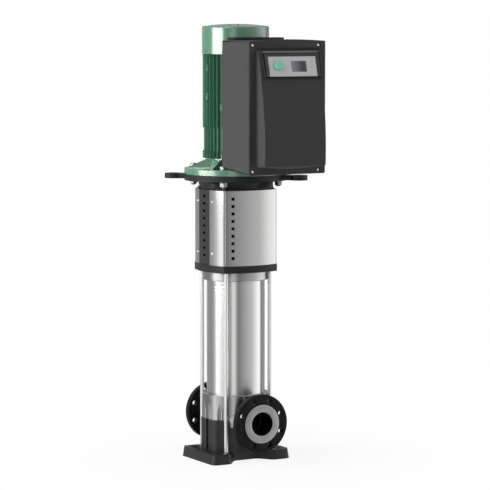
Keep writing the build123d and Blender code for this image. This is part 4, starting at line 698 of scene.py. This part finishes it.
# Perforated strips. Thin steel sheet with a row of slots, bent like the guards' wings and sprayed black.
# They close the gaps between the guards, whose wings overlap their edges.
strip_black = coated("sheet_steel_black", "#272728", "#2E2E2F", 0.4, 20, 3, 0.05)
strip_high = corners_of("side_strips")[1]
strip_reach = strip_high.x + arc_centre
strip_edge = math.asin(strip_high.y / strip_reach)
strip_wall = 1.8
strip_steps = 8
slot_wide = 15.0
slot_tall = 9.5
slot_round = 3.0
slot_rise = 5.0
slot_punch_reach = 140.0
strip_stations = []
for step in range(strip_steps + 1):
    turn = math.pi + strip_edge * (2 * step / strip_steps - 1)
    strip_stations.append((arc_centre, 0, strip_reach, turn))
strips = joined("perforated_strips", [
    bent_sheet("strip", strip_stations, strip_wall, guard_low.z, guard_high.z,
               Matrix.Rotation(facing, 3, "Z")) for facing in (0.0, math.pi)])
slot_punch = skin("punch", [[(x, y * slot_wide / 2, z * slot_tall / 2) for y, z in square]
                            for x in (-slot_punch_reach, slot_punch_reach)])
eased(slot_punch, slot_round)
slot_places = [((0, 0, guard_middle + slot_rise + row * hole_pitch), upright) for row in hole_rows]
punched(strips, repeated("punches", slot_punch, slot_places, strip_black))
finish(strips, "pump", strip_black, "guard_steel", "side_strips")

# Guard screws. Bright stainless button heads with a hexagon socket, two above each other on every wing.
# They go through the guards into the lantern's legs.
screw_offset = 50.0
screw_levels = (712.7, 888.3)
screw_reach = math.sqrt(arc_radius ** 2 - screw_offset ** 2) - arc_centre
screw_lean = math.asin(screw_offset / arc_radius)
button = hexagonal("button", 3.0, [
    (0, -7.5, 0), (2.0, -7.5, 0), (2.4, -7.0, 0), (2.4, 0, 0), (4.9, 0, 0), (5.0, 0.5, 0),
    (4.7, 1.5, 0), (3.9, 2.4, 0), (2.6, 2.9, 0), (2.0, 3.0, 0), (None, 2.6, 0), (None, 1.0, 0),
    (0, 0.6, 0)], steps=48)
screw_places = []
for facing in (0, math.pi):
    for along in (-1, 1):
        for level in screw_levels:
            spot = Matrix.Rotation(facing, 3, "Z") @ Vector((screw_reach, along * screw_offset, level))
            screw_places.append((spot, (0, math.pi / 2, facing + along * screw_lean)))
buttons = repeated("guard_button_screws", button, screw_places, drawn_steel)
finish(buttons, "pump", drawn_steel, "fastener_steel", "guard_screws")

# Fan cover. Cup pressed from steel sheet, with a tight shoulder, a shallow dome and rays of air slots.
# Glossy green enamel is sprayed on it and on both end shields, so they carry long, clear highlights.
green_enamel = coated("green_enamel", "#3E7958", "#478361", 0.3, 60, 9, 0.006, specular=0.4, coat=1.0)
cup_low, cup_high = corners_of("fan_cover")
cup_radius = cup_high.x
cup_top = cup_low.z + 93.0
cup_shoulder = 4.0
cup_rise = 8.0
cup_wall = 2.0
shoulder_steps = 6
dome_radii = (cup_radius - cup_shoulder, 100, 88, 75, 60, 42, 20, 0)
cup_lines = []
for wall in (0.0, cup_wall):
    line = [(cup_radius - wall, cup_low.z), (cup_radius - wall, cup_top - cup_shoulder - shading_stop)]
    for part in range(shoulder_steps):
        lap = math.pi / 2 * part / shoulder_steps
        line.append((cup_radius - cup_shoulder + (cup_shoulder - wall) * math.cos(lap),
                     cup_top - cup_shoulder + (cup_shoulder - wall) * math.sin(lap)))
    for radius in dome_radii:
        line.append((radius, cup_top - wall + cup_rise * (1 - (radius / cup_radius) ** 2)))
    cup_lines.append(line)
cover = turned("fan_cover_pressing", cup_lines[0] + cup_lines[1][::-1], steps=144)
ray_inner = 42.0
ray_outer = 88.0
ray_half = 3.5
ray_count = 16
ray_below = 9.0
ray_above = 14.0
ray_punch = skin("punch", [
    [(ray_inner, -ray_half, z), (ray_outer, -ray_half, z), (ray_outer, ray_half, z),
     (ray_inner, ray_half, z)]
    for z in (cup_top - ray_below, cup_top + ray_above)])
ray_places = [((0, 0, 0), (0, 0, 2 * math.pi * index / ray_count)) for index in range(ray_count)]
punched(cover, repeated("punches", ray_punch, ray_places, green_enamel))
finish(cover, "pump", green_enamel, "motor_green", "fan_cover")

# End shields. Castings, turned where they fit the barrel and sprayed with the cover's glossy enamel.
# The lower one is the motor's flange, with a hub and gussets, and its ring is drawn in to the barrel.
shield = softened("lower_end_shield", "drive_end_shield", 2.0)
frame_low, frame_high = corners_of("motor_frame")
ring_level = frame_low.z - 21.0
ring_inside = 105.0
ring_draw = 99.0 / 111.5
for vertex in shield.data.vertices:
    if vertex.co.z > ring_level * MM and vertex.co.xy.length > ring_inside * MM:
        vertex.co.x *= ring_draw
        vertex.co.y *= ring_draw
finish(shield, "pump", green_enamel, "motor_green", "lower_end_shield")
dress(green_enamel, "upper_end_shield")

# Motor frame. Aluminium casting: a barrel with 33 tapered fins and a flat saddle for the converter. The
# fins have draft and a round tip, and part of each is turned down over the drive end. The same green
# enamel dries to a satin on the casting's skin.
barrel_radius = 99.0
barrel_bore = 92.0
fin_tip = 112.0
fin_tip_low = 108.0
fin_root = 1.9
fin_root_radius = barrel_radius - 2.0
fin_edge = 1.1
fin_edge_steps = 6
fin_count = 40
fin_start = frame_low.z - 15.0
turned_low = frame_low.z + 10.0
turned_high = frame_low.z + 89.0
turned_slope = 2.0
saddle_half = 70.0
saddle_face = 109.0
saddle_root = 90.0
saddle_start = frame_low.z + 8.0
saddle_span = 28
barrel = turned("barrel", [
    (barrel_bore, frame_low.z), (barrel_radius, frame_low.z), (barrel_radius, frame_high.z),
    (barrel_bore, frame_high.z)], steps=120)
saddle = skin("saddle", [
    [(-saddle_half, -saddle_root, z), (-saddle_half, -saddle_face, z), (saddle_half, -saddle_face, z),
     (saddle_half, -saddle_root, z)]
    for z in (saddle_start, frame_high.z)])
eased(saddle, 2.0)
cast_enamel = coated("green_enamel_on_casting", "#3F7156", "#47795E", 0.42, 60, 9, 0.05, specular=0.4)
frame_body = baked(joined("frame_barrel", [barrel, saddle]))
finish(frame_body, "pump", cast_enamel, "frame_green", "motor_frame")
sections = [
    (fin_start, fin_tip), (turned_low, fin_tip), (turned_low + turned_slope, fin_tip_low),
    (turned_high - turned_slope, fin_tip_low), (turned_high, fin_tip), (frame_high.z, fin_tip)]
fin_rings = []
for level, tip in sections:
    ring = [(fin_root_radius, -fin_root, level)]
    for part in range(fin_edge_steps + 1):
        lap = math.pi * part / fin_edge_steps
        ring.append((tip - fin_edge + fin_edge * math.sin(lap), -fin_edge * math.cos(lap), level))
    ring.append((fin_root_radius, fin_root, level))
    fin_rings.append(ring)
fin_places = []
for index in range(fin_count):
    angle = 360 / fin_count * index
    from_saddle = abs((angle - 90) % 360 - 180)
    if from_saddle > saddle_span:
        fin_places.append(((0, 0, 0), (0, 0, math.radians(angle))))
fins = repeated("frame_fins", skin("fin", fin_rings), fin_places, cast_enamel, sharp=40)
finish(fins, "pump", cast_enamel, "frame_green")

# Tapped bosses. Small oblong pads cast on the fins, and in each a blackened socket screw that closes
# the thread. Four like screws hold the fan cover round its edge.
boss_half_wide = 6.5
boss_half_tall = 11.5
boss_levels = ((94.0, 1.0), (111.5, 1.0), (113.5, 0.9))
boss_spots = ((180, 47), (180, 143), (0, 47), (0, 143), (216, 178), (324, 178))
boss = skin("boss", [[(reach, y * boss_half_wide * size, z * boss_half_tall * size) for y, z in square]
                     for reach, size in boss_levels])
eased(boss, 1.6)
boss_places = [((0, 0, frame_high.z - drop), (0, 0, math.radians(angle))) for angle, drop in boss_spots]
bosses = repeated("frame_bosses", boss, boss_places, cast_enamel)
finish(bosses, "pump", cast_enamel, "frame_green")
plug = hexagonal("plug", 4.0, [
    (0, 107, 0), (3.6, 107, 0), (3.6, 113.7, 0), (2.9, 114.3, 0), (2.5, 114.3, 0), (None, 113.7, 0),
    (None, 111.5, 0), (0, 111, 0)], steps=48)
plug_lift = 5.0
cup_screw_lift = 8.0
plug_places = [((0, 0, point[2] + plug_lift), (0, math.pi / 2, turn[2])) for point, turn in boss_places]
plug_places += [((0, 0, cup_low.z + cup_screw_lift), (0, math.pi / 2, math.pi / 2 * quarter))
                for quarter in range(4)]
dark_steel = steel("steel_blackened", "#4A4A48", 0.35, 2.0, 0.002)
plugs = repeated("frame_boss_screws", plug, plug_places, dark_steel)
finish(plugs, "pump", dark_steel, "fastener_steel")

# Motor's inner parts, hidden by the frame and the fan cover: cores stacked from laminated sheet, coils
# of enamelled copper wire, and a fan moulded from black plastic.
core_steel = coated("laminated_steel", "#56565A", "#606064", 0.4, 10, 2, 0.05)
copper = coated("enamelled_copper", "#9A5A34", "#86492A", 0.35, 5, 2, 0.2)
fan_plastic = coated("fan_plastic_black", "#1E1E1E", "#242424", 0.5, 12, 3, 0.05)
dress(core_steel, "stator_core", "rotor_core")
dress(copper, "stator_windings")
dress(fan_plastic, "cooling_fan")

# Flange bolts of the motor, with nuts and washers. Zinc-plated M16 hexagon bolts, head up, through the
# motor's flange and the lantern's top plate.
bolt_low, bolt_high = corners_of("motor_bolts")
bolt_circle = 300.0
bolt_radius = 8.0
bolt_across = 24.0
bolt_seat = bolt_high.z - 10.0
bolt_point = 1.0
bolt_thread_turns = 8
bolt_thread_low = bolt_low.z + 1.5
bolt_thread_high = bolt_low.z + 20.0
bolt_reach = bolt_circle / 2 * math.sqrt(0.5)
bolt_line = [
    (0, bolt_low.z, 0), (bolt_radius - bolt_point, bolt_low.z, 0),
    (bolt_radius, bolt_low.z + bolt_point, 0)]
for turn in range(bolt_thread_turns):
    ridge = bolt_thread_low + thread_pitch * turn
    bolt_line += [
        (bolt_radius - crest_depth, ridge, 0), (bolt_radius - root_depth, ridge + thread_pitch / 2, 0)]
bolt_line += [
    (bolt_radius, bolt_thread_high, 0), (bolt_radius, bolt_seat, 0), ("flat", bolt_seat, 0),
    (None, bolt_seat, 1), (None, bolt_high.z, -1), ("flat", bolt_high.z, 0), (0, bolt_high.z, 0)]
bolt_places = [((x, y, 0), upright) for x in (-bolt_reach, bolt_reach) for y in (-bolt_reach, bolt_reach)]
bolts = repeated("motor_hex_bolts", hexagonal("bolt", bolt_across, bolt_line), bolt_places, zinc_steel)
finish(bolts, "pump", zinc_steel, "fastener_steel", "motor_bolts")
nut_low, nut_high = corners_of("motor_nuts")
nut = hexagonal("nut", bolt_across, nut_outline(nut_low.z, nut_high.z, bolt_radius))
nuts = repeated("motor_hex_nuts", nut, bolt_places, zinc_steel)
finish(nuts, "pump", zinc_steel, "fastener_steel", "motor_nuts")
dress(zinc_steel, "motor_washers")

# Converter. Box and cover are moulded from dark-grey plastic with a fine spark-eroded grain, which
# takes their gloss off. They stand on a finned cooler of black anodised aluminium with a raised lid.
box_plastic = coated("moulded_plastic_grey", "#3C3C3C", "#404040", 0.5, 60, 3.5, 0.03)
cover_plastic = coated("moulded_plastic_dark_grey", "#343434", "#383838", 0.45, 60, 3.5, 0.03)
cooler_black = coated("aluminium_black_anodised", "#141415", "#1A1A1B", 0.4, 20, 3, 0.05)
housing = softened("converter_housing", "converter_box", 1.5)
finish(housing, "pump", box_plastic, "converter_grey", "converter_housing")
front_cover = softened("converter_cover", "converter_front", 1.8)
finish(front_cover, "pump", cover_plastic, "cover_grey", "converter_cover")
cooler = softened("converter_adapter", "converter_cooler", 0.8, segments=2)
cooler_high = corners_of("converter_adapter")[1]
lid_tall = 12.0
lid_lift = 4.5
for vertex in cooler.data.vertices:
    if vertex.co.z > (cooler_high.z - lid_tall) * MM:
        vertex.co.z += lid_lift * MM
finish(cooler, "pump", cooler_black, "cooler_black", "converter_adapter")
# Boards of green glass laminate, behind the cover and the panel.
board_green = coated("circuit_laminate", "#2E5B3A", "#336441", 0.45, 8, 2, 0.02)
dress(board_green, "circuit_board", "control_board")

# Cover screws. Bright stainless pan heads with a hexagon socket, sunk in the cover's four pockets.
# They draw the cover onto the box.
head_radius = 4.5
head_seat = -347.0
head = hexagonal("head", 3.4, [
    (0, -18, 0), (2.6, -18, 0), (3, -17.4, 0), (3, -5, 0), (4.4, -5, 0), (head_radius, -4.6, 0),
    (head_radius, -2.0, 0), (3.6, -1.1, 0), (2.2, -1.0, 0), (None, -1.4, 0), (None, -3.4, 0),
    (0, -3.6, 0)], steps=48)
screw_low, screw_high = corners_of("cover_screws")
head_places = [((x, head_seat, z), (math.pi / 2, 0, 0))
               for x in (screw_low.x + head_radius, screw_high.x - head_radius)
               for z in (screw_low.z + head_radius, screw_high.z - head_radius)]
heads = repeated("cover_socket_screws", head, head_places, drawn_steel)
finish(heads, "pump", drawn_steel, "fastener_steel", "cover_screws")

# Control unit. Black moulding whose frame stands in a groove, round a light-grey panel with a display.
# Its inner face slopes to the panel, and a lighter grey strip along its upper edge is a painted
# highlight.
panel_width = 180.0
panel_height = 67.0
panel_tilt = math.radians(14.7)
panel_centre = (3.0, -375.5, 1350.0)
control = Matrix.Translation(panel_centre) @ Matrix.Rotation(math.pi / 2 - panel_tilt, 4, "X")


def border(before, after, upper, lower, radius, level, steps=5):
    """Rounded rectangle past the panel's left, right, top and bottom edges, at a level over the panel."""
    left, right = -panel_width / 2 - before, panel_width / 2 + after
    top, bottom = panel_height / 2 + upper, -panel_height / 2 - lower
    points = []
    for x, y, start in ((right, top, 0), (left, top, 90), (left, bottom, 180), (right, bottom, 270)):
        centre_x = x - math.copysign(radius, x)
        centre_y = y - math.copysign(radius, y)
        for step in range(steps + 1):
            turn = math.radians(start + 90 * step / steps)
            points.append(control @ Vector((
                centre_x + radius * math.cos(turn), centre_y + radius * math.sin(turn), level)))
    return points


# From the back's outer edge over the frame's crest, through the groove, and in to the panel's seat.
bezel_rings = (
    (18.5, 16.0, 19.6, 7.0, 6.0, -16.0), (18.5, 16.0, 19.6, 7.0, 6.0, -3.6),
    (18.0, 15.6, 19.0, 6.5, 5.6, -3.0), (17.4, 14.0, 15.0, 5.9, 5.0, 0.6),
    (17.0, 13.1, 12.5, 5.5, 4.8, 0.6), (17.0, 13.1, 12.5, 5.5, 4.8, -9.0),
    (13.0, 13.0, 11.3, 1.5, 3.6, -9.0), (13.0, 13.0, 11.3, 1.5, 3.6, -0.6),
    (12.2, 12.2, 10.0, 1.1, 3.0, 1.0), (1.6, 1.6, 1.6, 0.7, 1.2, 0.8),
    (0.1, 0.1, 0.1, 0.1, 0.6, 0.2), (0.1, 0.1, 0.1, 0.1, 0.6, -3.0),
    (-2.0, -2.0, -2.0, -2.0, 1.5, -3.0), (-2.0, -2.0, -2.0, -2.0, 1.5, -14.0))
bezel = skin("control_bezel", [border(*ring) for ring in bezel_rings])
tray_plastic = coated("moulded_plastic_black", "#292929", "#2E2E2E", 0.35, 20, 3, 0.03, specular=0.5)
finish(baked(bezel, sharp=25), "pump", tray_plastic, "tray_black", "control_tray")
# Painted highlight: a lighter grey strip laid along the bezel's upper edge, where its slope catches the
# light.
trim_plastic = coated("painted_highlight_grey", "#727272", "#787878", 0.45, 20, 3, 0.03)
trim_before = 15.0
trim_after = 11.0
trim_line = ((18.8, -2.4), (15.2, 0.95), (12.8, 0.95), (12.8, 0.5), (14.8, 0.3), (18.4, -2.9))
trim = skin("bezel_upper_edge", [
    [control @ Vector((x, panel_height / 2 + rise, level)) for rise, level in trim_line]
    for x in (-panel_width / 2 - trim_before, panel_width / 2 + trim_after)])
finish(eased(trim, 0.2), "pump", trim_plastic, "tray_black")

# Panel and display. The panel is moulded in light grey with a matt skin. The display's window is smooth
# glass, painted lighter at its left and darker toward its right: a painted reflection.
panel_plastic = coated("moulded_plastic_light_grey", "#C3C4C6", "#C9CACC", 0.45, 20, 3, 0.02)
panel = softened("control_panel", "control_face", 0.6)
finish(panel, "pump", panel_plastic, "panel_grey", "control_panel")
display = coated("display_glass", "#7E7F81", "#88898B", 0.12, 20, 5, 0.0)
display_low, display_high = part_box("display_window")
display_width = display_high.x - display_low.x
# The window's colour is a painted reflection: light at the left, darker toward the right.
darker_from = display_low.x + 0.006
darkest_from = display_low.x + 0.7 * display_width
tree = display.node_tree
where = add(tree, "ShaderNodeTexCoord")
seen_at = add(tree, "ShaderNodeSeparateXYZ", {0: where.outputs["Object"]})
polarised = add(tree, "ShaderNodeMapRange", {
    "Value": seen_at.outputs["X"], "From Min": darker_from, "From Max": darkest_from})
deeper = add(tree, "ShaderNodeMix", {
    factor: polarised.outputs[0], first_colour: linear("#8A8B8D"), second_colour: linear("#4B4B4D")},
    data_type="RGBA")
tree.links.new(deeper.outputs[mixed_colour], tree.nodes["Principled BSDF"].inputs["Base Color"])
dress(display, "display_window")

# Knob. Cap moulded from green plastic with finger ribs round its side and a hollow back.
# It is pressed on the encoder's shaft, turns with it and can be pushed.
knob_offset = -58.0
knob_radius = 13.5
rib_count = 36
rib_depth = 0.45
rib_steps = 4
knob_centre = control @ Matrix.Translation((knob_offset, 0.0, 0.0))
knob_rings = []
for step in range(rib_steps * rib_count):
    turn = knob_centre @ Matrix.Rotation(2 * math.pi * step / (rib_steps * rib_count), 4, "Z")
    rim = knob_radius - (rib_depth if step % rib_steps == rib_steps // 2 else 0.0)
    knob_rings.append([turn @ Vector((radius, 0, height)) for radius, height in (
        (3.1, 3.0), (6.0, 3.0), (6.0, 14.4), (11.0, 14.4), (11.0, 2.0), (knob_radius, 2.0), (rim, 3.0),
        (rim, 14.6), (12.7, 16.4), (12.0, 16.9), (11.0, 17.0), (9.0, 16.5), (0.0, 16.3), (0.0, 14.5),
        (3.1, 14.5))])
knob = baked(skin("push_knob", knob_rings, looped=True))
knob_plastic = coated("moulded_plastic_green", "#78D2AE", "#7FD8B5", 0.35, 15, 3, 0.02)
finish(knob, "knob", knob_plastic, "knob_green", "control_knob")
